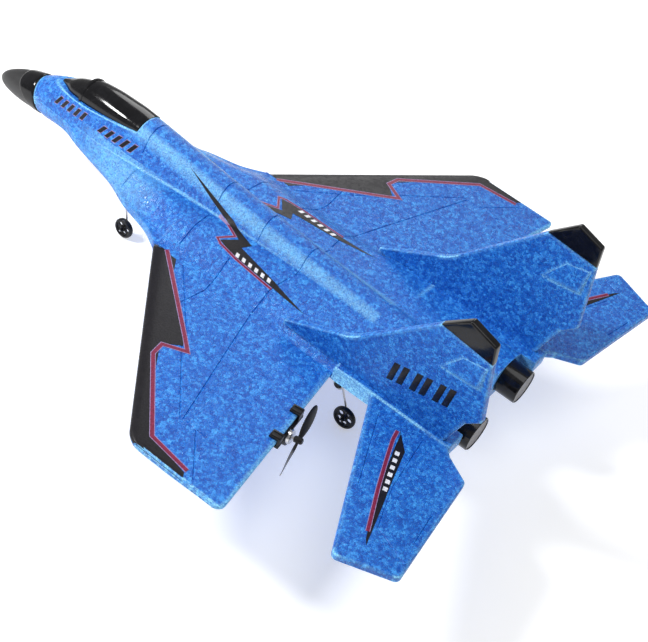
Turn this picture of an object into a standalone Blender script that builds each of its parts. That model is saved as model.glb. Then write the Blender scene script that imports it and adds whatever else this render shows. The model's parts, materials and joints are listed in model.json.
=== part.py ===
"""Small twin-motor foam jet: airframe, canopy, nozzles, motor pods, landing gear and battery bay.

Everything is modelled in the airframe's own axes (nose at -Y, port wing at +X, Z = 0 on the top of
the wing) under one empty.  The empty carries the stance: the airframe leans on its three wheels, and
the ground is Z = 0.
"""
import bpy
import bmesh
import numpy as np
from math import acos, asin, atan2, cos, hypot, pi, radians, sin, sqrt, tan
from mathutils import Matrix, Vector

MM = 0.001
GAP = 0.3 * MM                    # clearance between pieces that touch

# airframe planform
HALF_SPAN = 145.0 * MM
ROOT_X = 45.0 * MM                # wing root plane, half the width of the centre body
NOSE_BASE_Y = -166.2 * MM         # front face of the foam, where the nose cone starts
NOSE_LENGTH = 31.8 * MM
NOSE_DROOP = 6.6 * MM
NOSE_R = 9.8 * MM
NOSE_BASE_Z = -4.0 * MM
NOSE_WALL = 1.2 * MM
RAKE = 0.37                       # lean of the nose cone's base plane, dy per dz
RAKE_END_Y = -140.0 * MM          # the lean fades out here
KINK_Y = -50.0 * MM               # where the leading-edge extension meets the wing
WING_TE_ROOT_Y = 61.0 * MM
BODY_END_Y = 118.5 * MM           # rear face of the nacelles
BOOM_END_Y = 127.0 * MM
CENTRE_END_Y = 106.0 * MM         # rear edge between the nacelles
JOIN_Y = -38.0 * MM               # joint of the front and middle upper mouldings
PART_Z = -3.0 * MM                # parting plane of the two foam halves
PART_Z_REAR = -0.8 * MM

# wing panel
WING_LE_TIP_Y = 25.3 * MM
WING_TE_TIP_Y = 76.8 * MM
WING_T_ROOT = 6.0 * MM
WING_T_TIP = 4.4 * MM
WING_TE_T = 2.2 * MM
TIP_CORNER_R = 4.5 * MM
TONGUE_DEPTH = 6.0 * MM
TONGUE_T = 2.4 * MM
TONGUE_Y = (-30.0 * MM, 42.0 * MM)

# tail
TAIL_TOP_Z = 5.6 * MM
TAIL_T = 3.8 * MM
TAIL_ROOT_LE_Y = 83.0 * MM
TAIL_TIP_LE = (131.6 * MM, 123.7 * MM)
TAIL_TIP_TE = (120.4 * MM, 151.2 * MM)
TAIL_INNER_TE = (55.9 * MM, 142.9 * MM)
TAIL_CORNER_R = 3.0 * MM
FIN_T = 3.6 * MM
FIN_CANT = radians(4.6)
FIN_TOE = radians(1.4)
FIN_ROOT = (39.9 * MM, 27.5 * MM, 5.8 * MM)
FIN_TAB = 2.4 * MM                # depth of the fin's tab in the boom
FIN_TAB_LENGTH = 94.0 * MM

# fin outline in its own plane: distance aft of the root's front, height above the root
FIN_CHINE = (35.8 * MM, 19.3 * MM)       # where the strake turns up into the fin
CAP_SEAM = ((74.3 * MM, 61.8 * MM), (102.1 * MM, 59.4 * MM))
CAP_TOP = ((86.5 * MM, 74.0 * MM), (100.7 * MM, 69.7 * MM))
CAP_PROUD = 0.6 * MM                     # extra thickness of the cap over the foam
FIN_HEEL = ((107.9 * MM, 25.3 * MM), (101.1 * MM, 18.5 * MM), (95.5 * MM, 1.2 * MM))

# canopy
CANOPY_FRONT_Y = -156.0 * MM
CANOPY_REAR_Y = -98.0 * MM
CANOPY_WALL = 0.9 * MM
CANOPY_BASE_Z = (12.4 * MM, 20.0 * MM)

# nozzles
NOZZLE_X = 22.0 * MM
NOZZLE_Z = -0.4 * MM
NOZZLE_R = 9.0 * MM
NOZZLE_WALL = 0.9 * MM
NOZZLE_SHOW = 11.5 * MM
NOZZLE_PLUG = 5.0 * MM
NOZZLE_RECESS = 2.0 * MM          # seat of the end disc below the lip
BOOM_IN = 33.8 * MM               # inner side of a boom, abreast of the nozzles
CENTRE_GAP_X = 11.0 * MM          # inner side of a nacelle behind the centre body

# motor pods
POD_X = 86.0 * MM
POD_TILT = radians(8.7)
CLAW_PITCH = 19.0 * MM
MOTOR_R = 3.6 * MM
MOTOR_LENGTH = 14.0 * MM
MOTOR_DROP = WING_TE_T + MOTOR_R + 0.5 * MM     # motor axis below the wing's top
MOTOR_REAR = 3.2 * MM             # rear face of the motor behind the trailing edge
SHAFT_R = 0.5 * MM
HUB_R = 1.6 * MM
HUB_LENGTH = 4.2 * MM
PROP_R = 18.2 * MM
PROP_REST = radians(152.0)        # angle at which a propeller stands still
CLAW_W = 4.8 * MM
CLAW_T = 1.1 * MM
RAIL_T = 1.3 * MM

# landing gear
WIRE_R = 0.5 * MM
NOSE_WHEEL_R = 5.8 * MM
MAIN_WHEEL_R = 6.3 * MM
WHEEL_W = 3.2 * MM
NOSE_AXLE = (0.0, -100.9 * MM, -52.5 * MM)
MAIN_AXLE = (22.0 * MM, 66.1 * MM, -45.0 * MM)
NOSE_LEAD = 10.5 * MM             # top of the nose leg ahead of its axle
COIL_R = 2.6 * MM
COIL_DROP = 13.6 * MM             # coil centre above the main axle
COIL_LEAD = 10.4 * MM             # coil centre ahead of the main axle
WHEEL_TYRE = 2.1 * MM             # depth of the tyre ring
WHEEL_HUB_R = 1.7 * MM
SPOKES = 5
AXLE_BEND = 1.2 * MM              # radius of the wire's bend into the axle
AXLE_OVER = 2.0 * MM              # wire beyond the wheel
COLLAR_R = 1.1 * MM
SOCKET_R = 1.9 * MM
SOCKET_FLANGE_R = 3.4 * MM
SOCKET_DEPTH = 7.0 * MM
LEG_IN = 6.0 * MM                 # how far a leg goes into its socket
NOSE_LEG_X = -(WHEEL_W / 2 + 0.9 * MM)

# battery bay
KEEL_Z = -13.2 * MM
BAY_X = 10.0 * MM
BAY_Y = (-90.0 * MM, -46.0 * MM)
BAY_ROOF_Z = 4.5 * MM
HATCH_T = 1.3 * MM
HATCH_RIM = 2.0 * MM
HATCH_GRIP = (2.0 * MM, 10.0 * MM, 1.3 * MM)
HINGE_R = 0.5 * MM
BARREL_R = 1.2 * MM
BARREL_INSET = 4.0 * MM           # barrel ends in from the hatch's ends
PIN_OVER = 3.0 * MM               # pin beyond the hatch, held in the foam
BATTERY_SIZE = (17.0 * MM, 30.0 * MM, 7.0 * MM)
BOARD_SIZE = (15.0 * MM, 24.0 * MM, 1.2 * MM)
CHIP_SIZE = (6.0 * MM, 6.0 * MM, 1.3 * MM)
SWITCH_Y = -36.0 * MM
SWITCH_SIZE = (4.6 * MM, 9.0 * MM, 4.0 * MM)
SLIDER_SIZE = (1.6 * MM, 2.0 * MM, 2.8 * MM)
SLIDER_IN = 1.5 * MM
SWITCH_TRAVEL = 2.0 * MM

for old in list(bpy.data.objects):
    bpy.data.objects.remove(old, do_unlink=True)

parts = bpy.data.collections.new("rc_foam_airplane")
cutters = bpy.data.collections.new("cutters")
bpy.context.scene.collection.children.link(parts)
bpy.context.scene.collection.children.link(cutters)


# ---------------------------------------------------------------- helpers

def material(name, rgb, roughness, metallic=0.0):
    mat = bpy.data.materials.new(name)
    mat.use_nodes = True
    shader = mat.node_tree.nodes["Principled BSDF"]
    shader.inputs["Base Color"].default_value = (*rgb, 1.0)
    shader.inputs["Roughness"].default_value = roughness
    shader.inputs["Metallic"].default_value = metallic
    return mat


FOAM = material("blue_foam", (0.06, 0.22, 0.72), 0.62)
BLACK = material("black_plastic", (0.02, 0.02, 0.022), 0.35)
GLOSS = material("gloss_black", (0.012, 0.012, 0.014), 0.1)
GREY = material("grey_plastic", (0.16, 0.155, 0.165), 0.5)
STEEL = material("steel_wire", (0.6, 0.6, 0.62), 0.28, 1.0)
CAN = material("motor_can", (0.66, 0.66, 0.68), 0.25, 1.0)
RUBBER = material("black_rubber", (0.02, 0.02, 0.02), 0.7)
CELL = material("battery_wrap", (0.55, 0.57, 0.6), 0.4)
BOARD = material("circuit_board", (0.02, 0.16, 0.07), 0.5)


def empty(name, parent=None, location=(0, 0, 0), rotation=(0, 0, 0)):
    obj = bpy.data.objects.new(name, None)
    parts.objects.link(obj)
    obj.parent = parent
    obj.location = location
    obj.rotation_euler = rotation
    return obj


def place(name, data, mat, parent, location=(0, 0, 0), rotation=(0, 0, 0), collection=None):
    obj = bpy.data.objects.new(name, data)
    (collection or parts).objects.link(obj)
    obj.parent = parent
    obj.location = location
    obj.rotation_euler = rotation
    if mat:
        data.materials.append(mat)
    return obj


def mesh_from(bm, name, sharp=radians(35)):
    mesh = bpy.data.meshes.new(name)
    bm.to_mesh(mesh)
    bm.free()
    mesh.shade_smooth()
    mesh.set_sharp_from_angle(angle=sharp)
    return mesh


def box_mesh(name, low, high):
    bm = bmesh.new()
    bmesh.ops.create_cube(bm, size=1.0)
    size = [h - l for l, h in zip(low, high)]
    centre = [(h + l) / 2 for l, h in zip(low, high)]
    bmesh.ops.scale(bm, vec=size, verts=bm.verts)
    bmesh.ops.translate(bm, vec=centre, verts=bm.verts)
    return mesh_from(bm, name)


def rod_mesh(name, radius, low, high, sides=20, axis="Y"):
    """A cylinder from low to high along one axis."""
    bm = bmesh.new()
    bmesh.ops.create_cone(bm, cap_ends=True, segments=sides, radius1=radius, radius2=radius,
                          depth=high - low)
    bmesh.ops.translate(bm, vec=(0, 0, (low + high) / 2), verts=bm.verts)
    turn = {"X": Matrix.Rotation(pi / 2, 3, "Y"), "Y": Matrix.Rotation(-pi / 2, 3, "X"),
            "Z": Matrix.Identity(3)}[axis]
    bmesh.ops.transform(bm, matrix=turn.to_4x4(), verts=bm.verts)
    return mesh_from(bm, name)


def loft_mesh(name, rings, sharp=radians(35)):
    """Skin a closed solid over rings of equally many points, capped at both ends."""
    bm = bmesh.new()
    loops = [[bm.verts.new(p) for p in ring] for ring in rings]
    for first, second in zip(loops, loops[1:]):
        for i in range(len(first)):
            j = (i + 1) % len(first)
            bm.faces.new((first[i], first[j], second[j], second[i]))
    bm.faces.new(list(reversed(loops[0])))
    bm.faces.new(loops[-1])
    bmesh.ops.recalc_face_normals(bm, faces=bm.faces)
    return mesh_from(bm, name, sharp)


def turned(name, profile, mat, parent, location=(0, 0, 0), rotation=(0, 0, 0), steps=20):
    """A profile of (radius, height) turned about local Z; it runs down the outer side."""
    bm = bmesh.new()
    verts = [bm.verts.new((r, 0, z)) for r, z in profile]
    for a, b in zip(verts, verts[1:] + verts[:1]):
        bm.edges.new((a, b))
    mesh = bpy.data.meshes.new(name)
    bm.to_mesh(mesh)
    bm.free()
    obj = place(name, mesh, mat, parent, location, rotation)
    screw = obj.modifiers.new("turn", "SCREW")
    screw.axis = "Z"
    screw.steps = screw.render_steps = steps
    screw.use_merge_vertices = True
    screw.merge_threshold = 0.00001
    return obj


def cut(target, cutter, operation="DIFFERENCE"):
    mod = target.modifiers.new(cutter.name, "BOOLEAN")
    mod.operation = operation
    mod.solver = "EXACT"
    mod.object = cutter


def cutter(name, mesh, parent, location=(0, 0, 0), rotation=(0, 0, 0)):
    obj = place(name, mesh, None, parent, location, rotation, cutters)
    obj.hide_render = True
    obj.display_type = "WIRE"
    return obj


def wire(name, points, radius, mat, parent, location=(0, 0, 0)):
    curve = bpy.data.curves.new(name, "CURVE")
    curve.dimensions = "3D"
    spline = curve.splines.new("POLY")
    spline.points.add(len(points) - 1)
    for point, co in zip(spline.points, points):
        point.co = (*co, 1.0)
    curve.bevel_depth = radius
    curve.bevel_resolution = 2
    curve.use_fill_caps = True
    return place(name, curve, mat, parent, location)


def rounded(corners, radius, steps=4):
    """An outline with each corner replaced by an arc; radius may be one value or one per corner."""
    radii = radius if isinstance(radius, (list, tuple)) else [radius] * len(corners)
    outline = []
    for i, corner in enumerate(corners):
        here = Vector(corner)
        back = (Vector(corners[i - 1]) - here)
        ahead = (Vector(corners[(i + 1) % len(corners)]) - here)
        half = back.angle(ahead) / 2
        reach = min(radii[i] / tan(half), 0.45 * min(back.length, ahead.length))
        if reach < 1e-6 or half > 1.5:
            outline.append(tuple(here))
            continue
        start = here + back.normalized() * reach
        end = here + ahead.normalized() * reach
        for k in range(steps + 1):
            t = k / steps
            outline.append(tuple(start * (1 - t) ** 2 + here * 2 * t * (1 - t) + end * t ** 2))
    return outline


def plate(name, outline, thickness, edge, mat, parent, location=(0, 0, 0), rotation=(0, 0, 0)):
    """A flat sheet of foam or plastic with its edges rounded over by `edge`, from a 2D curve."""
    curve = bpy.data.curves.new(name, "CURVE")
    curve.dimensions = "2D"
    curve.fill_mode = "BOTH"
    spline = curve.splines.new("POLY")
    spline.points.add(len(outline) - 1)
    for point, co in zip(spline.points, outline):
        point.co = (co[0], co[1], 0.0, 1.0)
    spline.use_cyclic_u = True
    curve.extrude = thickness / 2 - edge
    curve.bevel_depth = edge
    curve.bevel_resolution = 0
    curve.offset = -edge
    return place(name, curve, mat, parent, location, rotation)


def smooth(t):
    t = min(max(t, 0.0), 1.0)
    return t * t * (3 - 2 * t)


# ---------------------------------------------------------------- foam body

# Design stations of the upper half, nose to tail, in millimetres and degrees:
# y, half-width, edge height, deck height, spine top, spine radius, flank slope, flat share of deck
ROOT_W = (ROOT_X - GAP / 2) / MM
BOOM_W = ROOT_W + 1.35
UPPER = [
    (-166.2, 9.8, -2.6, -1.4, 5.8, 9.8, 74, 0.1),
    (-158.0, 11.8, -2.4, 0.4, 10.3, 11.9, 76, 0.1),
    (-149.5, 13.0, -2.2, 1.0, 15.0, 11.7, 78, 0.1),
    (-139.0, 14.6, -2.1, 2.5, 20.5, 12.0, 76, 0.1),
    (-127.4, 18.3, -2.0, 3.6, 24.0, 12.2, 72, 0.1),
    (-113.0, 21.8, -1.8, 5.0, 24.5, 12.4, 66, 0.12),
    (-98.0, 25.6, -1.6, 6.2, 24.0, 12.0, 62, 0.15),
    (-80.0, 33.2, -1.3, 7.2, 22.7, 11.0, 58, 0.2),
    (-62.0, 38.2, -0.8, 8.0, 21.2, 10.0, 55, 0.25),
    (-50.0, ROOT_W, -0.4, 8.3, 20.2, 9.6, 53, 0.3),
    (-42.0, ROOT_W, 0.0, 8.4, 19.5, 9.4, 52, 0.35),
    (-15.0, ROOT_W, 0.0, 8.6, 17.3, 9.0, 48, 0.42),
    (10.0, ROOT_W, 0.0, 8.4, 15.2, 9.0, 44, 0.5),
    (26.0, ROOT_W, 0.0, 8.1, 13.8, 9.2, 41, 0.62),
    (40.0, ROOT_W, 0.0, 8.0, 12.8, 9.6, 38, 0.8),
    (61.3, ROOT_W, 0.0, 7.7, 11.3, 10.5, 32, 0.86),
    (62.0, BOOM_W, 5.0, 7.7, 11.2, 10.6, 32, 0.93),
    (80.0, BOOM_W + 0.2, 5.4, 7.4, 10.2, 12.0, 27, 0.94),
    (100.0, BOOM_W, 5.4, 7.2, 9.0, 14.0, 20, 0.94),
    (127.0, BOOM_W - 0.6, 5.4, 7.0, 7.6, 20.0, 10, 0.94),
]

# Lower half: y, half-width, edge height, under-deck height, keel height, keel radius, arc, flank
LOWER = [
    (-166.2, 9.8, -3.7, -5.0, -13.8, 9.8, 74, 82),
    (-158.0, 11.8, -3.8, -4.4, -13.5, 11.9, 74, 82),
    (-149.5, 13.0, -3.9, -4.7, -13.2, 12.0, 70, 78),
    (-139.0, 14.6, -4.0, -5.0, -13.2, 13.5, 58, 72),
    (-127.4, 18.3, -4.2, -5.6, -13.2, 18.0, 40, 66),
    (-113.0, 21.8, -4.4, -6.4, -13.2, 40.0, 17.5, 62),
    (-98.0, 25.6, -4.6, -7.0, -13.2, 300.0, 2.4, 60),
    (-80.0, 33.2, -4.9, -7.0, -13.2, 300.0, 2.4, 60),
    (-62.0, 38.2, -5.2, -7.0, -13.2, 300.0, 2.4, 60),
    (-50.0, ROOT_W, -5.0, -7.0, -13.2, 300.0, 2.4, 60),
    (-31.0, ROOT_W, -6.0, -7.0, -13.2, 300.0, 2.2, 60),
    (-27.0, ROOT_W, -6.0, -7.0, -12.8, 300.0, 1.9, 50),
    (-5.0, ROOT_W, -6.0, -7.0, -9.5, 300.0, 1.2, 35),
    (30.0, ROOT_W, -5.4, -6.6, -8.2, 300.0, 1.0, 30),
    (61.3, ROOT_W, -3.6, -5.6, -7.6, 300.0, 1.0, 30),
    (62.0, 34.0, -3.5, -5.4, -7.6, 300.0, 1.0, 30),
    (118.5, 34.0, -2.2, -3.2, -5.5, 300.0, 1.0, 30),
]

SPINE_SHARES = (0.0, 0.3, 0.56, 0.8, 1.0)
DECK_SHARES = (0.07, 0.16, 0.3, 0.44, 0.56, 0.68, 0.8, 0.9, 1.0)
NACELLE_IN = 12.5 * MM            # inner and outer foot of a nacelle's side
NACELLE_OUT = 32.5 * MM
NACELLE_SIDE = 3.6 * MM
NACELLE_BOTTOM = (-13.4 * MM, -11.4 * MM)
NACELLE_CROWN = 2.4 * MM          # rise of the deck over a nacelle at its rear end
INTAKE_Y = (-31.0 * MM, -27.0 * MM)


def at_station(table, y):
    """Values of a design table at y, on straight runs between its stations."""
    ys = [row[0] * MM for row in table]
    return [float(np.interp(y, ys, [row[k] for row in table])) for k in range(1, len(table[0]))]


def part_z(y):
    return float(np.interp(y, [40 * MM, BOOM_END_Y], [PART_Z, PART_Z_REAR]))


def rake(y, z):
    """How far forward the raked nose base moves a point at height z."""
    fade = smooth((y - RAKE_END_Y) / (NOSE_BASE_Y - RAKE_END_Y))
    return -RAKE * fade * (z - NOSE_BASE_Z)


def nacelle_share(x):
    rise = smooth((x - NACELLE_IN + NACELLE_SIDE) / NACELLE_SIDE)
    fall = smooth((x - NACELLE_OUT) / NACELLE_SIDE)
    return rise * (1 - fall)


def canopy_base(y):
    t = (y - CANOPY_FRONT_Y) / (CANOPY_REAR_Y - CANOPY_FRONT_Y)
    return CANOPY_BASE_Z[0] + t * (CANOPY_BASE_Z[1] - CANOPY_BASE_Z[0])


def hump(top, radius, arc, flank, deck):
    """Half of a round ridge in section: arc points from its crest, then its foot on the deck."""
    points = [(radius * sin(arc * s), top - radius * (1 - cos(arc * s))) for s in SPINE_SHARES]
    x, z = points[-1]
    points.append((x + max(z - deck, 0) / tan(flank), min(z, deck)))
    return points


def upper_half_section(y, under_canopy):
    width, edge, deck, top, radius, flank, flat = at_station(UPPER, y)
    width, edge, deck, top, radius = (v * MM for v in (width, edge, deck, top, radius))
    points = hump(top, radius, radians(flank), radians(flank), deck)
    foot = min(points[-1][0], width - 0.2 * MM)
    points[-1] = (foot, deck)
    shoulder = deck - (deck - FIN_ROOT[2]) * smooth((y - KINK_Y) / (FIN_ROOT[1] - KINK_Y))
    crown = NACELLE_CROWN * smooth((y - WING_TE_ROOT_Y) / (BODY_END_Y - WING_TE_ROOT_Y))
    for share in DECK_SHARES:
        x = foot + (width - foot) * share
        if share < flat:
            z = deck + (shoulder - deck) * share / flat
        else:
            z = shoulder + (edge - shoulder) * smooth((share - flat) / (1 - flat))
        bulge = max(0.0, 1 - ((x - NOZZLE_X) / (NOZZLE_R + 1.5 * MM)) ** 2)
        points.append((x, z + crown * sqrt(bulge) * (1 if share < flat else 0)))
    if under_canopy:
        seat = canopy_base(y + rake(y, canopy_base(y))) - GAP
        points = [(x, min(z, seat)) for x, z in points]
    return points


def lower_half_section(y):
    width, edge, deck, keel, radius, arc, flank = at_station(LOWER, y)
    width, edge, deck, keel, radius = (v * MM for v in (width, edge, deck, keel, radius))
    points = [(x, -z) for x, z in hump(-keel, radius, radians(arc), radians(flank), -deck)]
    foot = min(points[-1][0], width - 0.2 * MM)
    points[-1] = (foot, deck)
    depth = NACELLE_BOTTOM[0] + (NACELLE_BOTTOM[1] - NACELLE_BOTTOM[0]) * smooth(y / BODY_END_Y)
    start = smooth((y - INTAKE_Y[0]) / (INTAKE_Y[1] - INTAKE_Y[0]))
    for share in DECK_SHARES:
        x = foot + (width - foot) * share
        z = deck + (edge - deck) * share ** 2
        points.append((x, z + (depth - z) * start * nacelle_share(x)))
    return points


def body_ring(y, half_section, seam_z):
    """A whole ring from a half section: port half, starboard half, then the flat parting side."""
    port = [(x, y + rake(y, z), z) for x, z in reversed(half_section)]
    starboard = [(-x, yy, z) for x, yy, z in reversed(port[:-1])]
    seam_y = y + rake(y, seam_z)
    width = port[0][0]
    return port + starboard + [(-width, seam_y, seam_z), (width, seam_y, seam_z)]


def body_stations(table, extra, start, end):
    ys = {row[0] * MM for row in table} | set(extra) | {start, end}
    return [y for y in sorted(ys) if start <= y <= end]


def make_upper(name, parent, start, end):
    step = 0.25 * MM
    extra = [CANOPY_FRONT_Y, CANOPY_REAR_Y - step]
    rings = []
    for y in body_stations(UPPER, extra, start, end):
        covered = CANOPY_FRONT_Y <= y < CANOPY_REAR_Y
        rings.append(body_ring(y, upper_half_section(y, covered), part_z(y) + GAP / 2))
    return place(name, loft_mesh(name, rings), FOAM, parent)


def trim_boom(boom, word, side, parent):
    """Cut the upper rear end down to one nacelle with the boom outside it."""
    wide, tall = ROOT_X + 9 * MM, 30 * MM
    xs = sorted((-side * wide, side * CENTRE_GAP_X))
    other = box_mesh("other_half", (xs[0], CENTRE_END_Y - MM, -tall), (xs[1], BOOM_END_Y + MM, tall))
    xs = sorted((-side * wide, side * BOOM_IN))
    abreast = box_mesh("abreast_nozzle", (xs[0], BODY_END_Y, -tall), (xs[1], BOOM_END_Y + MM, tall))
    cut(boom, cutter(f"{word}_other_half", other, parent))
    cut(boom, cutter(f"{word}_abreast_nozzle", abreast, parent))


def make_lower(parent):
    rings = [body_ring(y, lower_half_section(y), part_z(y) - GAP / 2)
             for y in body_stations(LOWER, [], NOSE_BASE_Y, BODY_END_Y)]
    return place("fuselage_lower", loft_mesh("fuselage_lower", rings), FOAM, parent)


# ---------------------------------------------------------------- flying surfaces

AIRFOIL_C = (0.0, 0.012, 0.035, 0.085, 0.25, 0.5, 0.78, 1.0)


def wing_thickness(c, full):
    front = sqrt(min(c / 0.085, 1.0) * (2 - min(c / 0.085, 1.0)))
    rear = smooth((1 - c) / 0.6)
    return front * (WING_TE_T + (full - WING_TE_T) * rear)


def wing_ring(x, front, rear, full):
    upper, lower = [], []
    for c in AIRFOIL_C:
        y = front + (rear - front) * c
        droop = 0.4 * (full - WING_TE_T) * (1 - sqrt(min(c / 0.085, 1.0)))
        upper.append((x, y, -droop))
        lower.append((x, y, -droop - max(wing_thickness(c, full), 0.02 * MM)))
    return upper + list(reversed(lower))


def wing_edges(x):
    """Leading and trailing edge of the panel at span x, with rounded tip corners."""
    t = (x - ROOT_X) / (HALF_SPAN - ROOT_X)
    front = KINK_Y + (WING_LE_TIP_Y - KINK_Y) * t
    rear = WING_TE_ROOT_Y + (WING_TE_TIP_Y - WING_TE_ROOT_Y) * t
    into = max(0.0, x - (HALF_SPAN - TIP_CORNER_R)) / TIP_CORNER_R
    inset = TIP_CORNER_R * (1 - sqrt(max(0.0, 1 - into * into)))
    return front + inset, rear - inset


def wing_rings(side):
    root = ROOT_X + GAP / 2
    tongue_z = (PART_Z - TONGUE_T / 2, PART_Z + TONGUE_T / 2)
    rings = []
    for x in (root - TONGUE_DEPTH, root):
        ys = [TONGUE_Y[0] + (TONGUE_Y[1] - TONGUE_Y[0]) * c for c in AIRFOIL_C]
        rings.append([(x, y, tongue_z[1]) for y in ys] + [(x, y, tongue_z[0]) for y in reversed(ys)])
    corner = [HALF_SPAN - TIP_CORNER_R * (1 - sin(a)) for a in (0, radians(30), radians(60), radians(85))]
    for x in [root, root + 30 * MM, root + 60 * MM] + corner:
        t = (x - ROOT_X) / (HALF_SPAN - ROOT_X)
        front, rear = wing_edges(x)
        rings.append(wing_ring(x, front, rear, WING_T_ROOT + (WING_T_TIP - WING_T_ROOT) * t))
    return [[(side * x, y, z) for x, y, z in ring] for ring in rings]


def make_wing(name, side, parent):
    return place(name, loft_mesh(name, wing_rings(side)), FOAM, parent)


def boom_side(y):
    return at_station(UPPER, y)[0] * MM


def make_tailplane(name, side, parent):
    rear = BOOM_END_Y - 0.5 * MM
    corners = [
        (boom_side(TAIL_ROOT_LE_Y) + GAP, TAIL_ROOT_LE_Y),
        TAIL_TIP_LE,
        TAIL_TIP_TE,
        TAIL_INNER_TE,
        (boom_side(rear) + 3.2 * MM, rear + 3.4 * MM),
        (boom_side(rear) + GAP, rear),
    ]
    radii = [0, TAIL_CORNER_R, TAIL_CORNER_R, TAIL_CORNER_R, 0, 0]
    outline = [(side * x, y) for x, y in rounded(corners, radii)]
    return plate(name, outline, TAIL_T, 0.8 * MM, FOAM, parent, (0, 0, TAIL_TOP_Z - TAIL_T / 2))


def fin_base(name, side, parent):
    """Empty at the fin's root front; its X runs aft along the root and its Y up the fin."""
    frame = Matrix(((side * sin(FIN_TOE), side * sin(FIN_CANT), 0),
                    (cos(FIN_TOE), 0, 0),
                    (0, cos(FIN_CANT), 0)))
    aft = frame.col[0].normalized()
    up = (frame.col[1] - aft * frame.col[1].dot(aft)).normalized()
    across = aft.cross(up)
    turn = Matrix((aft, up, across)).transposed()
    return empty(name, parent, (side * FIN_ROOT[0], FIN_ROOT[1], FIN_ROOT[2]), turn.to_euler())


def make_fin(name, base):
    low = GAP - FIN_TAB
    corners = [(0.0, low), (0.4 * MM, 0.9 * MM), FIN_CHINE, *CAP_SEAM, *FIN_HEEL,
               (FIN_TAB_LENGTH, low)]
    radii = [0, 1 * MM, 30 * MM, 0, 0, 1 * MM, 1 * MM, 0, 0]
    return plate(name, rounded(corners, radii, 3), FIN_T, 0.7 * MM, FOAM, base)


def make_fin_cap(name, base):
    front, rear = (Vector(point) for point in CAP_SEAM)
    seam = (rear - front).normalized()
    lift = Vector((-seam.y, seam.x)) * GAP
    corners = [tuple(front + lift), *CAP_TOP, tuple(rear + lift)]
    outline = rounded(corners, [0, 1.5 * MM, 1.5 * MM, 0], 3)
    return plate(name, outline, FIN_T + CAP_PROUD, 0.9 * MM, GLOSS, base)


# ---------------------------------------------------------------- nose, canopy, nozzles

def make_nose_cone(parent):
    """A drooped ogive shell, open at its raked base."""
    turns = 20
    bm = bmesh.new()
    loops = []
    shares = (0.0, 0.12, 0.3, 0.5, 0.68, 0.82, 0.92, 0.98)
    for share in shares:
        radius = NOSE_R * sqrt(1 - share ** 1.75)
        y = NOSE_BASE_Y - GAP - NOSE_LENGTH * share
        z = NOSE_BASE_Z - NOSE_DROOP * share
        lean = RAKE * (1 - share)
        loops.append([bm.verts.new((radius * cos(a), y - lean * radius * sin(a), z + radius * sin(a)))
                      for a in (2 * pi * k / turns for k in range(turns))])
    for first, second in zip(loops, loops[1:]):
        for i in range(turns):
            j = (i + 1) % turns
            bm.faces.new((first[i], first[j], second[j], second[i]))
    tip = bm.verts.new((0, NOSE_BASE_Y - GAP - NOSE_LENGTH, NOSE_BASE_Z - NOSE_DROOP))
    for i in range(turns):
        bm.faces.new((loops[-1][i], loops[-1][(i + 1) % turns], tip))
    bmesh.ops.recalc_face_normals(bm, faces=bm.faces)
    obj = place("nose_cone", mesh_from(bm, "nose_cone"), BLACK, parent)
    shell = obj.modifiers.new("wall", "SOLIDIFY")
    shell.thickness = NOSE_WALL
    shell.offset = -1
    return obj


# Canopy stations in millimetres: y, half-width, height of the crest
CANOPY = [(-156.0, 1.2, 13.0), (-152.0, 3.2, 15.2), (-146.5, 6.4, 18.6), (-141.5, 7.8, 21.2),
          (-140.6, 8.5, 22.6), (-133.0, 9.4, 24.3), (-121.0, 10.0, 25.0), (-109.0, 9.7, 24.9),
          (-98.3, 8.7, 24.0)]


def make_canopy(parent):
    """A thin arch on the foam seat, open below: windscreen, frame step and bubble in one."""
    shares = [k / 10 for k in range(11)]
    bm = bmesh.new()
    loops = []
    for y_mm, half, top in CANOPY:
        y = y_mm * MM
        base = canopy_base(y)
        ring = []
        for s in shares:
            a = pi * s
            ring.append(bm.verts.new((half * MM * cos(a), y, base + (top * MM - base) * sin(a) ** 0.9)))
        loops.append(ring)
    for first, second in zip(loops, loops[1:]):
        for i in range(len(shares) - 1):
            bm.faces.new((first[i], second[i], second[i + 1], first[i + 1]))
    bm.faces.new(loops[0])
    bm.faces.new(list(reversed(loops[-1])))
    bmesh.ops.recalc_face_normals(bm, faces=bm.faces)
    if sum(f.calc_center_median().z * f.normal.z * f.calc_area() for f in bm.faces) < 0:
        bmesh.ops.reverse_faces(bm, faces=bm.faces)
    obj = place("canopy", mesh_from(bm, "canopy"), GLOSS, parent)
    shell = obj.modifiers.new("wall", "SOLIDIFY")
    shell.thickness = CANOPY_WALL
    shell.offset = -1
    return obj


def make_nozzle(name, side, parent):
    """A cup with its plug end in the foam; local Z points aft."""
    inner = NOZZLE_R - NOZZLE_WALL
    seat = NOZZLE_SHOW - NOZZLE_RECESS
    ledge = 1.2 * MM
    profile = [(inner, NOZZLE_SHOW), (NOZZLE_R, NOZZLE_SHOW), (NOZZLE_R, -NOZZLE_PLUG),
               (inner, -NOZZLE_PLUG), (inner, seat - ledge), (inner - ledge, seat - ledge),
               (inner - ledge, seat), (inner, seat)]
    return turned(name, profile, BLACK, parent, (side * NOZZLE_X, BODY_END_Y, NOZZLE_Z),
                  (-pi / 2, 0, 0), 28)


def make_nozzle_disc(name, side, parent):
    inner = NOZZLE_R - NOZZLE_WALL - 0.1 * MM
    disc = rod_mesh(name, inner, NOZZLE_SHOW - NOZZLE_RECESS + GAP, NOZZLE_SHOW - 0.1 * MM, 28)
    return place(name, disc, GREY, parent, (side * NOZZLE_X, BODY_END_Y, NOZZLE_Z))


# ---------------------------------------------------------------- motor pods

TE_SLOPE = atan2(WING_TE_TIP_Y - WING_TE_ROOT_Y, HALF_SPAN - ROOT_X)


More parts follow.
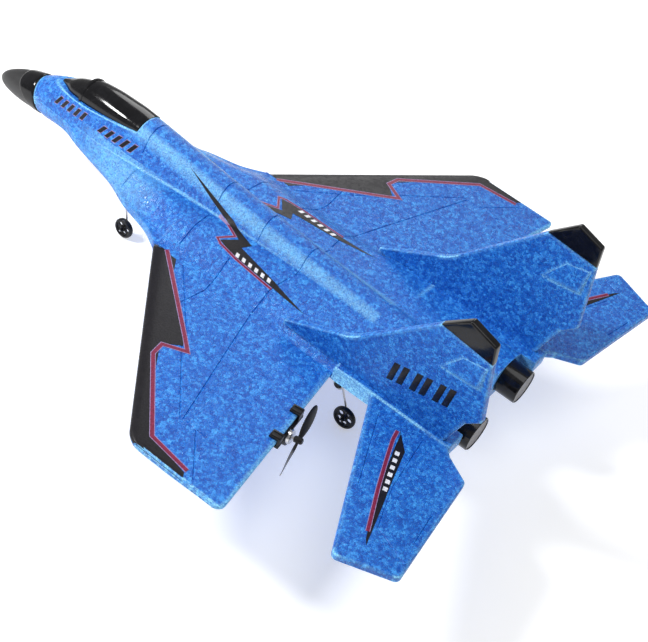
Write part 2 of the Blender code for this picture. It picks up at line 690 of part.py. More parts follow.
def make_pod(word, side, parent):
    """Clip-on mount on the trailing edge, motor can, shaft and pusher propeller.

    The pod's empty sits on the trailing edge at the wing's top: X along the edge, Y aft.
    """
    edge_y = wing_edges(POD_X)[1]
    pod = empty(f"{word}_pod", parent, (side * POD_X, edge_y, 0), (0, 0, side * TE_SLOPE))
    axis = empty(f"{word}_prop_axis", pod, (0, 0, -MOTOR_DROP), (POD_TILT, 0, 0))

    rail = (CLAW_PITCH + CLAW_W) / 2 + 0.2 * MM
    under = -(WING_TE_T + 0.55 * MM)
    mount = place(f"{word}_motor_mount",
                  box_mesh("rail", (-rail, -3.6 * MM, under - RAIL_T), (rail, 1.6 * MM, under)),
                  BLACK, pod)
    pieces = []
    for k, s in enumerate((-1, 1)):
        low, high = (s * CLAW_PITCH / 2 + half * CLAW_W / 2 for half in (-1, 1))
        claw = box_mesh("claw", (low, -4.2 * MM, GAP), (high, GAP + CLAW_T, GAP + CLAW_T))
        wall = box_mesh("wall", (low, GAP, under - 0.5 * MM), (high, GAP + CLAW_T, 1.3 * MM))
        pieces.append(cutter(f"{word}_claw_{k}", claw, pod))
        pieces.append(cutter(f"{word}_wall_{k}", wall, pod))
    pieces.append(cutter(f"{word}_ring",
                         rod_mesh("ring", MOTOR_R + 1.1 * MM, MOTOR_REAR - 2.0 * MM,
                                  MOTOR_REAR + 0.3 * MM, 20), axis))
    for piece in pieces:
        cut(mount, piece, "UNION")
    cut(mount, cutter(f"{word}_motor_bore",
                      rod_mesh("bore", MOTOR_R + 0.12 * MM, -9 * MM, 9 * MM, 20), axis))

    front = MOTOR_REAR - MOTOR_LENGTH
    can = place(f"{word}_motor_can", rod_mesh(f"{word}_motor_can", MOTOR_R, front, MOTOR_REAR, 20),
                CAN, axis)
    cut(can, cutter(f"{word}_shaft_bore",
                    rod_mesh("shaft_bore", SHAFT_R + 0.15 * MM, front + 2 * MM, MOTOR_REAR + MM, 12),
                    axis))
    hub_y = MOTOR_REAR + 1.0 * MM
    hub_end = hub_y + HUB_LENGTH - 0.8 * MM
    place(f"{word}_motor_shaft",
          rod_mesh(f"{word}_motor_shaft", SHAFT_R, front + 2.4 * MM, hub_end - GAP, 12), STEEL, axis)
    prop = place(f"{word}_propeller",
                 rod_mesh(f"{word}_propeller", HUB_R, hub_y, hub_y + HUB_LENGTH, 16), BLACK, axis)
    prop.rotation_euler = (0, side * (pi / 2 - PROP_REST), 0)
    for k in range(2):
        blade = cutter(f"{word}_blade_{k}", blade_mesh(side, hub_y + HUB_LENGTH / 2), prop)
        blade.rotation_euler = (0, k * pi, 0)
        cut(prop, blade, "UNION")
    cut(prop, cutter(f"{word}_prop_bore",
                     rod_mesh("prop_bore", SHAFT_R + 0.12 * MM, hub_y - 2 * MM, hub_end, 12), axis))


def blade_mesh(side, middle):
    """A twisted blade along +Z about the Y axis; side is the hand of its pitch."""
    rings = []
    for share, chord, pitch in ((0.05, 2.2, 52), (0.2, 3.6, 44), (0.45, 5.0, 32), (0.7, 4.8, 24),
                                (0.9, 3.4, 19), (1.0, 1.6, 17)):
        half = chord * MM / 2
        thick = (0.75 - 0.45 * share) * MM
        outline = [(-half, 0), (-0.4 * half, thick / 2), (0.5 * half, thick / 2), (half, 0),
                   (0.5 * half, -thick / 2), (-0.4 * half, -thick / 2)]
        c, s = cos(radians(pitch)), -sin(radians(pitch)) * side
        rings.append([(u * c - v * s, middle + u * s + v * c, PROP_R * share) for u, v in outline])
    return loft_mesh("blade", rings)


# ---------------------------------------------------------------- landing gear

def make_wheel(name, r, parent):
    """One moulding: tyre, rim, web with round windows, and a hub bored for the wire."""
    w = WHEEL_W / 2
    bore = WIRE_R + 0.12 * MM
    hub, rim, web = WHEEL_HUB_R, r - WHEEL_TYRE, 0.5 * MM
    side = [(bore, w), (hub - 0.2 * MM, w), (hub, web), (rim, web), (rim + 0.3 * MM, w * 0.8),
            (r - 0.6 * MM, w * 0.8), (r, w * 0.3)]
    profile = side + [(radius, -x) for radius, x in reversed(side)]
    wheel = turned(name, profile, BLACK, parent, (0, 0, 0), (0, pi / 2, 0), 24)
    for k in range(SPOKES):
        a = 2 * pi * k / SPOKES
        ring = (hub + rim) / 2
        hole = (rim - hub) / 2 - 0.15 * MM
        window = cutter(f"{name}_window_{k}", rod_mesh("window", hole, -2 * MM, 2 * MM, 8, "X"),
                        parent, (0, ring * cos(a), ring * sin(a)))
        cut(wheel, window)
    return wheel


def make_collar(name, parent, x_low, x_high):
    bore = WIRE_R + 0.1 * MM
    profile = [(bore, x_high), (COLLAR_R, x_high), (COLLAR_R, x_low), (bore, x_low)]
    return turned(name, profile, BLACK, parent, (0, 0, 0), (0, pi / 2, 0), 14)


def make_socket(name, parent, location):
    """Flanged plastic bush for the top of a gear leg, glued up into the foam."""
    bore = WIRE_R + 0.14 * MM
    profile = [(bore, SOCKET_DEPTH), (SOCKET_R, SOCKET_DEPTH), (SOCKET_R, 0), (SOCKET_FLANGE_R, 0),
               (SOCKET_FLANGE_R, -1.0 * MM), (bore, -1.0 * MM)]
    return turned(name, profile, BLACK, parent, location, (0, 0, 0), 18)


def make_nose_gear(parent, belly_z):
    axle = empty("nose_axle", parent, NOSE_AXLE)
    top = belly_z - GAP
    leg_y = NOSE_AXLE[1] - NOSE_LEAD
    socket = (NOSE_LEG_X, leg_y, top)
    make_socket("nose_gear_socket", parent, socket)
    _, axle_y, axle_z = NOSE_AXLE
    points = [(NOSE_LEG_X, leg_y, top + LEG_IN), (NOSE_LEG_X, leg_y, top - 2.5 * MM),
              (NOSE_LEG_X, leg_y + 0.15 * MM, top - 3.1 * MM), (NOSE_LEG_X, axle_y, axle_z + AXLE_BEND)]
    for k in range(1, 4):
        a = k * pi / 6
        points.append((NOSE_LEG_X + AXLE_BEND * (1 - cos(a)), axle_y,
                       axle_z + AXLE_BEND * (1 - sin(a))))
    points.append((WHEEL_W / 2 + AXLE_OVER, axle_y, axle_z))
    wire("nose_gear_leg", points, WIRE_R, STEEL, parent)
    make_wheel("nose_wheel", NOSE_WHEEL_R, axle)
    make_collar("nose_wheel_collar", axle, WHEEL_W / 2 + GAP, WHEEL_W / 2 + 1.7 * MM)
    return socket


def make_main_gear(word, side, parent, belly_z):
    """Leg: straight down from the nacelle, one and a half turns of coil, then aft to the axle."""
    axle_x, axle_y, axle_z = MAIN_AXLE
    axle = empty(f"{word}_axle", parent, (side * axle_x, axle_y, axle_z))
    top = belly_z - GAP
    coil_y, coil_z = axle_y - COIL_LEAD, axle_z + COIL_DROP
    stem_y = coil_y - COIL_R
    leg_x = axle_x - WHEEL_W / 2 - 1.0 * MM
    stem_x = leg_x - 1.9 * MM
    make_socket(f"{word}_gear_socket", parent, (side * stem_x, stem_y, top))
    points = [(stem_x, stem_y, top + LEG_IN), (stem_x, stem_y, coil_z + COIL_R)]
    aim = atan2(axle_z - coil_z, axle_y - coil_y)
    leave = aim + acos(COIL_R / hypot(axle_z - coil_z, axle_y - coil_y))
    start = pi
    turn = (leave - start) % (2 * pi) + 2 * pi
    steps = 22
    for k in range(steps + 1):
        t = k / steps
        a = start + turn * t
        points.append((stem_x + (leg_x - stem_x) * t, coil_y + COIL_R * cos(a),
                       coil_z + COIL_R * sin(a)))
    last = Vector(points[-1])
    foot = Vector((leg_x, axle_y, axle_z))
    run = (foot - last).normalized()
    points.append(tuple(foot - run * AXLE_BEND))
    points.append(tuple(foot - run * AXLE_BEND * 0.3 + Vector((AXLE_BEND * 0.3, 0, 0))))
    points.append((leg_x + AXLE_BEND, axle_y, axle_z))
    points.append((axle_x + WHEEL_W / 2 + AXLE_OVER, axle_y, axle_z))
    wire(f"{word}_gear_leg", [(side * x, y, z) for x, y, z in points], WIRE_R, STEEL, parent)
    bush = rod_mesh(f"{word}_shock_bush", COIL_R - WIRE_R - 0.25 * MM, -1.9 * MM, 1.9 * MM, 16, "X")
    place(f"{word}_shock_bush", bush, RUBBER, parent,
          (side * (stem_x + leg_x) / 2, coil_y, coil_z))
    make_wheel(f"{word}_wheel", MAIN_WHEEL_R, axle)
    ends = sorted((side * (WHEEL_W / 2 + GAP), side * (WHEEL_W / 2 + 1.7 * MM)))
    make_collar(f"{word}_wheel_collar", axle, ends[0], ends[1])
    return side * stem_x, stem_y, top


# ---------------------------------------------------------------- battery bay and switch

def make_bay(parent, upper, lower):
    y0, y1 = BAY_Y
    bay = cutter("bay_cut", box_mesh("bay_cut", (-BAY_X, y0, KEEL_Z - 5 * MM), (BAY_X, y1, BAY_ROOF_Z)),
                 parent)
    rim_x, rim_y0, rim_y1 = BAY_X + HATCH_RIM, y0 - HATCH_RIM, y1 + HATCH_RIM
    seat_z = KEEL_Z + HATCH_T + GAP
    rim = cutter("hatch_rim_cut", box_mesh("hatch_rim_cut", (-rim_x, rim_y0, KEEL_Z - 5 * MM),
                                           (rim_x, rim_y1, seat_z)), parent)
    cut(upper, bay)
    cut(lower, bay)
    cut(lower, rim)

    hinge_x, hinge_z = -rim_x + BARREL_R + GAP, KEEL_Z + BARREL_R
    barrel = (rim_y0 + BARREL_INSET, rim_y1 - BARREL_INSET)
    pin = (rim_y0 - PIN_OVER, rim_y1 + PIN_OVER)
    trough = rod_mesh("trough", BARREL_R + GAP, barrel[0] - GAP, barrel[1] + GAP, 16)
    pin_hole = rod_mesh("pin_hole", HINGE_R + GAP, pin[0] - GAP, pin[1] + GAP, 12)
    cut(lower, cutter("hinge_trough", trough, parent, (hinge_x, 0, hinge_z)))
    cut(lower, cutter("pin_hole", pin_hole, parent, (hinge_x, 0, hinge_z)))

    hinge = empty("hatch_hinge", parent, (hinge_x, 0, hinge_z))
    hatch = place("battery_hatch",
                  box_mesh("battery_hatch", (0, rim_y0 + GAP, KEEL_Z - hinge_z),
                           (rim_x - GAP - hinge_x, rim_y1 - GAP, KEEL_Z + HATCH_T - hinge_z)),
                  FOAM, hinge)
    for k, ys in enumerate(((rim_y0, barrel[0]), (barrel[1], rim_y1))):
        notch = box_mesh("notch", (-3 * MM, ys[0] - MM, -5 * MM), (2 * BARREL_R, ys[1], 5 * MM))
        cut(hatch, cutter(f"hatch_notch_{k}", notch, hinge))
    knuckle = rod_mesh("hatch_barrel", BARREL_R, barrel[0] + GAP, barrel[1] - GAP, 16)
    cut(hatch, cutter("hatch_barrel", knuckle, hinge), "UNION")
    bore = rod_mesh("hatch_bore", HINGE_R + 0.12 * MM, rim_y0, rim_y1, 12)
    cut(hatch, cutter("hatch_bore", bore, hinge))
    gw, gl, gh = HATCH_GRIP
    grip_x, middle_y, grip_z = rim_x - hinge_x - 3.5 * MM, (y0 + y1) / 2, -BARREL_R + 0.4 * MM
    grip = box_mesh("hatch_grip", (grip_x, middle_y - gl / 2, grip_z - gh),
                    (grip_x + gw, middle_y + gl / 2, grip_z))
    cut(hatch, cutter("hatch_grip", grip, hinge), "UNION")
    place("hatch_hinge_pin", rod_mesh("hatch_hinge_pin", HINGE_R, pin[0], pin[1], 12), STEEL, parent,
          (hinge_x, 0, hinge_z))

    bw, bl, bh = BATTERY_SIZE
    floor = KEEL_Z + HATCH_T + GAP
    rear = y1 - GAP * 2
    cell = box_mesh("battery", (-bw / 2, rear - bl, floor + GAP), (bw / 2, rear, floor + GAP + bh))
    battery = place("battery", cell, CELL, parent)
    edge = battery.modifiers.new("edges", "BEVEL")
    edge.width = 1.0 * MM
    edge.segments = 2
    cw, cl, ch = BOARD_SIZE
    sheet = box_mesh("receiver_board", (-cw / 2, rear - cl, BAY_ROOF_Z - GAP - ch),
                     (cw / 2, rear, BAY_ROOF_Z - GAP))
    board = place("receiver_board", sheet, BOARD, parent)
    pw, pl, ph = CHIP_SIZE
    chip = box_mesh("chip", (-pw / 2, rear - (cl + pl) / 2, BAY_ROOF_Z - GAP - ch - ph),
                    (pw / 2, rear - (cl - pl) / 2, BAY_ROOF_Z - ch))
    cut(board, cutter("board_chip", chip, parent), "UNION")


def make_switch(parent, lower):
    w, l, h = SWITCH_SIZE
    pocket = box_mesh("pocket", (-w / 2 - GAP, SWITCH_Y - l / 2 - GAP, KEEL_Z - 3 * MM),
                      (w / 2 + GAP, SWITCH_Y + l / 2 + GAP, KEEL_Z + h + GAP))
    cut(lower, cutter("switch_pocket", pocket, parent))
    body = place("switch_body", box_mesh("switch_body", (-w / 2, SWITCH_Y - l / 2, KEEL_Z),
                                         (w / 2, SWITCH_Y + l / 2, KEEL_Z + h)), BLACK, parent)
    sw, sl, sh = SLIDER_SIZE
    front = SWITCH_Y - (sl + SWITCH_TRAVEL) / 2
    slot = box_mesh("slot", (-sw / 2 - GAP, front - GAP, KEEL_Z - MM),
                    (sw / 2 + GAP, front + sl + SWITCH_TRAVEL + GAP, KEEL_Z + SLIDER_IN + GAP))
    cut(body, cutter("switch_slot", slot, parent))
    knob = box_mesh("switch_slider", (-sw / 2, -sl / 2, SLIDER_IN - sh), (sw / 2, sl / 2, SLIDER_IN))
    place("switch_slider", knob, GREY, parent, (0, front + sl / 2, KEEL_Z))


# ---------------------------------------------------------------- assembly

def stance():
    """Lean of the airframe, about X, that puts all three wheels on the ground."""
    base, rise = MAIN_AXLE[1] - NOSE_AXLE[1], MAIN_AXLE[2] - NOSE_AXLE[2]
    return asin((MAIN_WHEEL_R - NOSE_WHEEL_R) / hypot(base, rise)) - atan2(rise, base)


def stand_on_ground(base):
    """Move the airframe so that its box is centred over the origin and rests on Z = 0."""
    bpy.context.view_layer.update()
    graph = bpy.context.evaluated_depsgraph_get()
    corners = []
    for obj in parts.objects:
        if obj.type in {"MESH", "CURVE"}:
            shown = obj.evaluated_get(graph)
            mesh = shown.to_mesh()
            corners += [shown.matrix_world @ v.co for v in mesh.vertices]
            shown.to_mesh_clear()
    low = [min(c[k] for c in corners) for k in range(3)]
    high = [max(c[k] for c in corners) for k in range(3)]
    base.location = (-(low[0] + high[0]) / 2, -(low[1] + high[1]) / 2, -low[2])


airframe = empty("airframe", rotation=(stance(), 0, 0))
upper_front = make_upper("fuselage_upper_front", airframe, NOSE_BASE_Y, JOIN_Y - GAP / 2)
upper = make_upper("fuselage_upper_middle", airframe, JOIN_Y + GAP / 2, CENTRE_END_Y - GAP / 2)
lower = make_lower(airframe)

for word, side in (("left", 1), ("right", -1)):
    make_wing(f"{word}_wing", side, airframe)
    xs = sorted((side * (ROOT_X - TONGUE_DEPTH - GAP), side * (ROOT_X + 2 * MM)))
    slot = cutter(f"{word}_wing_slot",
                  box_mesh("wing_slot", (xs[0], TONGUE_Y[0] - GAP, PART_Z - TONGUE_T / 2 - GAP),
                           (xs[1], TONGUE_Y[1] + GAP, PART_Z + TONGUE_T / 2 + GAP)), airframe)
    cut(upper, slot)
    cut(lower, slot)
    boom = make_upper(f"{word}_tail_boom", airframe, CENTRE_END_Y + GAP / 2, BOOM_END_Y)
    make_tailplane(f"{word}_tailplane", side, airframe)
    base = fin_base(f"{word}_fin_base", side, airframe)
    make_fin(f"{word}_fin", base)
    make_fin_cap(f"{word}_fin_cap", base)
    fin_slot = cutter(f"{word}_fin_slot",
                      box_mesh("fin_slot", (-GAP, -FIN_TAB, -FIN_T / 2 - GAP),
                               (FIN_HEEL[2][0] + 1.0 * MM, 12 * MM, FIN_T / 2 + GAP)), base)
    cut(upper, fin_slot)
    cut(boom, fin_slot)
    make_nozzle(f"{word}_nozzle", side, airframe)
    make_nozzle_disc(f"{word}_nozzle_disc", side, airframe)
    bore = cutter(f"{word}_nozzle_bore",
                  rod_mesh("nozzle_bore", NOZZLE_R + GAP, -NOZZLE_PLUG - GAP, 20 * MM, 28), airframe,
                  (side * NOZZLE_X, BODY_END_Y, NOZZLE_Z))
    cut(boom, bore)
    trim_boom(boom, word, side, airframe)
    cut(lower, bore)
    make_pod(word, side, airframe)
    belly = NACELLE_BOTTOM[0]
    spot = make_main_gear(word, side, airframe, belly)
    cut(lower, cutter(f"{word}_socket_hole",
                      rod_mesh("socket_hole", SOCKET_R + GAP, -MM, SOCKET_DEPTH + 2 * GAP, 16, "Z"), airframe,
                      spot))

centre_box = box_mesh("centre_gap", (-CENTRE_GAP_X, CENTRE_END_Y, -30 * MM),
                      (CENTRE_GAP_X, BODY_END_Y + MM, 30 * MM))
cut(lower, cutter("centre_gap", centre_box, airframe))

make_nose_cone(airframe)
make_canopy(airframe)
nose_spot = make_nose_gear(airframe, KEEL_Z)
cut(lower, cutter("nose_socket_hole",
                  rod_mesh("socket_hole", SOCKET_R + GAP, -MM, SOCKET_DEPTH + 2 * GAP, 16, "Z"), airframe,
                  nose_spot))
make_bay(airframe, upper_front, lower)
make_switch(airframe, lower)
stand_on_ground(airframe)
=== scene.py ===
import json
from math import acos, atan2, cos, hypot, pi, radians, sin, sqrt, tan

import bmesh
import bpy
import numpy as np
from mathutils import Matrix, Vector
from mathutils.bvhtree import BVHTree
from mathutils.geometry import delaunay_2d_cdt
from mathutils.kdtree import KDTree

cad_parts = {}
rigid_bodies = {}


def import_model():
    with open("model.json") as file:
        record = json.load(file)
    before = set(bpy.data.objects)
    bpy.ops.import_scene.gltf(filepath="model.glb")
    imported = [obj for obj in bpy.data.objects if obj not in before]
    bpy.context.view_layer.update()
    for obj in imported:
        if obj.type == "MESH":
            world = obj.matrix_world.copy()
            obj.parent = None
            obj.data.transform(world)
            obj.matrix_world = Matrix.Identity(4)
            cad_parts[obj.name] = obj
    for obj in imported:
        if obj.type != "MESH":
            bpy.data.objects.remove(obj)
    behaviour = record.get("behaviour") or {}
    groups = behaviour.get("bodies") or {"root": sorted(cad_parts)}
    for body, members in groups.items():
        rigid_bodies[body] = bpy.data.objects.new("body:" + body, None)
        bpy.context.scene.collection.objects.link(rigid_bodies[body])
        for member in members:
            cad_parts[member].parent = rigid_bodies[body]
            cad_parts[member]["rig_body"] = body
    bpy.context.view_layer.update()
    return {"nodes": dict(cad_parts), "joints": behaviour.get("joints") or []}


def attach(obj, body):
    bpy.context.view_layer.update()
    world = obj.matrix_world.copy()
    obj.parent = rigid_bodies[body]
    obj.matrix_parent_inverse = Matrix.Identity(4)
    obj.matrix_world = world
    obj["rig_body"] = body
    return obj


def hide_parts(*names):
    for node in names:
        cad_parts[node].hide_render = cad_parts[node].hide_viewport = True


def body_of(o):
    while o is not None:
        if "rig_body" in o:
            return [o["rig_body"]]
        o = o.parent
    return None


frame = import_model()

# ---------------------------------------------------------------- stance and drawing board
# The airframe is drawn level, in millimetres: nose at -Y, port wing at +X, Z = 0 on the wing's top.
# On its three wheels it leans a little nose-up; the two axle lines give that lean and place.
pivots = {j["name"]: Vector(j["pos_m"]) for j in frame["joints"] if "pos_m" in j}
nose_axle = Vector((0, -100.9, -52.5))
main_axle = Vector((22, 66.1, -45.0))
drawn_line = main_axle - nose_axle
wheel_line = pivots["left_wheel_spin"] - pivots["nose_wheel_spin"]
lean = atan2(wheel_line.z, wheel_line.y) - atan2(drawn_line.z, drawn_line.y)
stance = Matrix.Rotation(lean, 4, "X") @ Matrix.Scale(0.001, 4)
stance = Matrix.Translation(pivots["nose_wheel_spin"] - stance @ nose_axle) @ stance

# ---------------------------------------------------------------- bead foam
# The airframe is moulded from expanded polypropylene beads, dyed blue in several shades.
# Pressed beads about 2 mm across show as angular patches; the skin over them is slightly glossy.
def new_group(name, outputs, **inputs):
    group = bpy.data.node_groups.new(name, "ShaderNodeTree")
    for key, value in inputs.items():
        kind = "NodeSocketColor" if isinstance(value, tuple) else "NodeSocketFloat"
        group.interface.new_socket(key, in_out="INPUT", socket_type=kind).default_value = value
    for key, kind in outputs:
        group.interface.new_socket(key, in_out="OUTPUT", socket_type=kind)
    return group, group.nodes.new("NodeGroupInput"), group.nodes.new("NodeGroupOutput")


def wired(tree, kind, links=(), **settings):
    """A node with its settings made and its inputs linked or filled."""
    node = tree.nodes.new(kind)
    for key, value in settings.items():
        setattr(node, key, value)
    for key, value in dict(links).items():
        if isinstance(value, bpy.types.NodeSocket):
            tree.links.new(value, node.inputs[key])
        else:
            node.inputs[key].default_value = value
    return node


def ranged(tree, value, low=0.0, high=1.0, to_low=0.0, to_high=1.0):
    """A value between low and high carried over to another span."""
    return wired(tree, "ShaderNodeMapRange", {"Value": value, "From Min": low, "From Max": high,
                                              "To Min": to_low, "To Max": to_high}).outputs[0]


def noise(tree, where, scale, detail):
    return wired(tree, "ShaderNodeTexNoise", {"Vector": where, "Scale": scale, "Detail": detail}).outputs[0]


def figured(tree, operation, *values):
    """The result of one Math node."""
    return wired(tree, "ShaderNodeMath", dict(enumerate(values)), operation=operation).outputs[0]


def ramp(tree, value, stops):
    node = wired(tree, "ShaderNodeValToRGB", {0: value})
    while len(node.color_ramp.elements) < len(stops):
        node.color_ramp.elements.new(0.5)
    for element, (at, color) in zip(node.color_ramp.elements, stops):
        element.position = at
        element.color = (*color, 1) if len(color) == 3 else color
    return node.outputs[0]


def grey(level):
    return (level, level, level)


bead_group, given, result = new_group(
    "pressed_beads", (("Color", "NodeSocketColor"), ("Roughness", "NodeSocketFloat"),
                      ("Height", "NodeSocketFloat")),
    Bead=760.0, Dark=(0.003, 0.050, 0.34, 1), Mid=(0.009, 0.140, 0.60, 1), Light=(0.075, 0.43, 0.97, 1))
tree = bead_group
where = wired(tree, "ShaderNodeTexCoord").outputs["Object"]
drift = wired(tree, "ShaderNodeTexNoise", {"Vector": where, "Scale": 1300.0, "Detail": 3.0})
shift = wired(tree, "ShaderNodeVectorMath", {0: drift.outputs["Color"], 1: (0.5, 0.5, 0.5)},
              operation="SUBTRACT").outputs[0]
wander = wired(tree, "ShaderNodeVectorMath", {0: shift, "Scale": 0.0022}, operation="SCALE").outputs[0]
bent = wired(tree, "ShaderNodeVectorMath", {0: where, 1: wander}, operation="ADD").outputs[0]
bead = wired(tree, "ShaderNodeTexVoronoi", {"Vector": bent, "Scale": given.outputs["Bead"]})
edge = wired(tree, "ShaderNodeTexVoronoi", {"Vector": bent, "Scale": given.outputs["Bead"]},
             feature="DISTANCE_TO_EDGE").outputs["Distance"]
pick = wired(tree, "ShaderNodeSeparateColor", {"Color": bead.outputs["Color"]})
fine = wired(tree, "ShaderNodeTexNoise", {"Vector": where, "Scale": 1900.0, "Detail": 4.0,
                                         "Roughness": 0.65}).outputs[0]
cloud = noise(tree, where, 230.0, 3.0)
tone = figured(tree, "MULTIPLY", pick.outputs[0], 0.34)
tone = figured(tree, "MULTIPLY_ADD", fine, 0.9, tone)
tone = figured(tree, "MULTIPLY_ADD", cloud, 0.34, tone)
low, high = ranged(tree, tone, 0.5, 0.8), ranged(tree, tone, 0.8, 1.12)
shade = wired(tree, "ShaderNodeMix", {0: low, 6: given.outputs["Dark"], 7: given.outputs["Mid"]},
              data_type="RGBA").outputs[2]
shade = wired(tree, "ShaderNodeMix", {0: high, 6: shade, 7: given.outputs["Light"]},
              data_type="RGBA").outputs[2]
seam = ranged(tree, edge, 0.0, 0.09, 0.72, 1.0)
seamed = wired(tree, "ShaderNodeMix", {0: 1.0, 6: shade, 7: seam}, data_type="RGBA",
               blend_type="MULTIPLY").outputs[2]
tree.links.new(seamed, result.inputs["Color"])
tree.links.new(ranged(tree, pick.outputs[1], 0.0, 1.0, 0.16, 0.5), result.inputs["Roughness"])
from_bead = wired(tree, "ShaderNodeVectorMath", {0: bent, 1: bead.outputs["Position"]},
                  operation="SUBTRACT").outputs[0]
tilt_way = wired(tree, "ShaderNodeVectorMath", {0: bead.outputs["Color"], 1: (0.5, 0.5, 0.5)},
                 operation="SUBTRACT").outputs[0]
tilt = wired(tree, "ShaderNodeVectorMath", {0: from_bead, 1: tilt_way},
             operation="DOT_PRODUCT").outputs["Value"]
tilt = figured(tree, "MULTIPLY", tilt, 320.0)
height = figured(tree, "ADD", ranged(tree, edge, 0.0, 0.3, 0.0, 0.8), tilt)
height = figured(tree, "MULTIPLY_ADD", fine, 0.5, height)
tree.links.new(height, result.inputs["Height"])


def material(name, **settings):
    """A new material with its surface shader's plain sockets filled."""
    mat = bpy.data.materials.new(name)
    mat.use_nodes = True
    shader = mat.node_tree.nodes["Principled BSDF"]
    for key, value in settings.items():
        socket = shader.inputs[key.replace("_", " ")]
        socket.default_value = (*value, 1) if isinstance(value, tuple) else value
    return mat, mat.node_tree, shader


def use_group(tree, group, **values):
    node = tree.nodes.new("ShaderNodeGroup")
    node.node_tree = group
    for key, value in values.items():
        node.inputs[key].default_value = value
    return node


def bump(tree, shader, height, strength, distance):
    node = wired(tree, "ShaderNodeBump", {"Height": height, "Strength": strength, "Distance": distance})
    tree.links.new(node.outputs[0], shader.inputs["Normal"])


blue_foam, tree, shader = material("blue_bead_foam", Specular_IOR_Level=0.36)
beads = use_group(tree, bead_group)
# painted highlight: a cyan-white colour is mixed into the foam's base colour wherever the rim attribute,
# broken up by noise, is high
rim = wired(tree, "ShaderNodeAttribute", attribute_name="rim").outputs["Fac"]
where = wired(tree, "ShaderNodeTexCoord").outputs["Object"]
glint = ranged(tree, noise(tree, where, 1500.0, 3.0), 0.38, 0.62, 0.25, 0.95)
glint = wired(tree, "ShaderNodeMath", {0: glint, 1: rim}, operation="MULTIPLY", use_clamp=True).outputs[0]
painted_glint_colour = wired(tree, "ShaderNodeMix", {0: glint, 6: beads.outputs["Color"], 7: (0.30, 0.74, 1.0, 1)},
              data_type="RGBA").outputs[2]
tree.links.new(painted_glint_colour, shader.inputs["Base Color"])
tree.links.new(beads.outputs["Roughness"], shader.inputs["Roughness"])
bump(tree, shader, beads.outputs["Height"], 0.72, 0.00015)


def bend_highlights(mesh):
    """Where a foam moulding bends hard, a highlight is painted into its colour: those points, with how much.
    """
    bm = bmesh.new()
    bm.from_mesh(mesh)
    tree = KDTree(len(bm.verts))
    marks = []
    for i, v in enumerate(bm.verts):
        bend = max((abs(e.calc_face_angle(0.0)) for e in v.link_edges), default=0.0)
        marks.append(min(max((bend - radians(6)) / radians(16), 0.0), 1.0))
        tree.insert(v.co, i)
    tree.balance()
    bm.free()
    return tree, marks


def mark_edges(mesh, found, share=lambda p: 1.0, extra_highlight=lambda p: 0.0):
    """Writes the painted highlight found on a plain moulding, or added to it since, onto its finished mesh as
    its rim attribute.
    """
    tree, marks = found
    rim = mesh.attributes.new("rim", "FLOAT", "POINT")
    rim.data.foreach_set("value", [max(marks[tree.find(v.co)[1]] * share(v.co), extra_highlight(v.co))
                                   for v in mesh.vertices])
    return mesh


def mesh_of(bm, name):
    mesh = bpy.data.meshes.new(name)
    bm.to_mesh(mesh)
    bm.free()
    return mesh


def finer(mesh, longest=2.2):
    """The mesh with every long edge split, so that a value can change along its faces."""
    bm = bmesh.new()
    bm.from_mesh(mesh)
    for _ in range(7):
        bmesh.ops.triangulate(bm, faces=[f for f in bm.faces if len(f.verts) > 3])
        long_edges = [e for e in bm.edges if e.calc_length() > longest]
        if not long_edges:
            break
        bmesh.ops.subdivide_edges(bm, edges=long_edges, cuts=1)
    bmesh.ops.triangulate(bm, faces=[f for f in bm.faces if len(f.verts) > 3])
    return mesh_of(bm, mesh.name)


# ---------------------------------------------------------------- centre body
# The fuselage is two foam mouldings glued along a flat parting plane: an upper half with the round
# spine, deck, nacelle tops and tail booms, and a lower half with the keel and nacelle bottoms.
root_w = 44.85
boom_w = root_w + 1.35
upper_stations = [
    (-166.2, 9.8, -2.6, -1.4, 5.8, 9.8, 74, 0.1), (-158.0, 11.8, -2.4, 0.4, 10.3, 11.9, 76, 0.1),
    (-149.5, 13.0, -2.2, 1.0, 15.0, 11.7, 78, 0.1), (-139.0, 14.6, -2.1, 2.5, 20.5, 12.0, 76, 0.1),
    (-127.4, 18.3, -2.0, 3.6, 24.0, 12.2, 72, 0.1), (-113.0, 21.8, -1.8, 5.0, 24.5, 12.4, 66, 0.12),
    (-98.0, 25.6, -1.6, 6.2, 24.0, 12.0, 62, 0.15), (-80.0, 33.2, -1.3, 7.2, 22.7, 11.0, 58, 0.2),
    (-62.0, 38.2, -0.8, 8.0, 21.2, 10.0, 55, 0.25), (-50.0, root_w, -0.4, 8.3, 20.2, 9.6, 53, 0.3),
    (-42.0, root_w, 0.0, 8.4, 19.5, 9.4, 52, 0.35), (-15.0, root_w, 0.0, 8.6, 17.3, 9.0, 48, 0.42),
    (10.0, root_w, 0.0, 8.4, 15.2, 9.0, 44, 0.5), (26.0, root_w, 0.0, 8.1, 13.8, 9.2, 41, 0.62),
    (40.0, root_w, 0.0, 8.0, 12.8, 9.6, 38, 0.8), (61.3, root_w, 0.0, 7.7, 11.3, 10.5, 32, 0.86),
    (62.0, boom_w, 5.0, 7.7, 11.2, 10.6, 32, 0.93), (80.0, boom_w + 0.2, 6.5, 7.4, 10.2, 12.0, 27, 0.94),
    (100.0, boom_w, 6.5, 7.2, 9.0, 14.0, 20, 0.94), (127.0, boom_w - 0.6, 6.4, 7.0, 7.6, 20.0, 10, 0.94)]
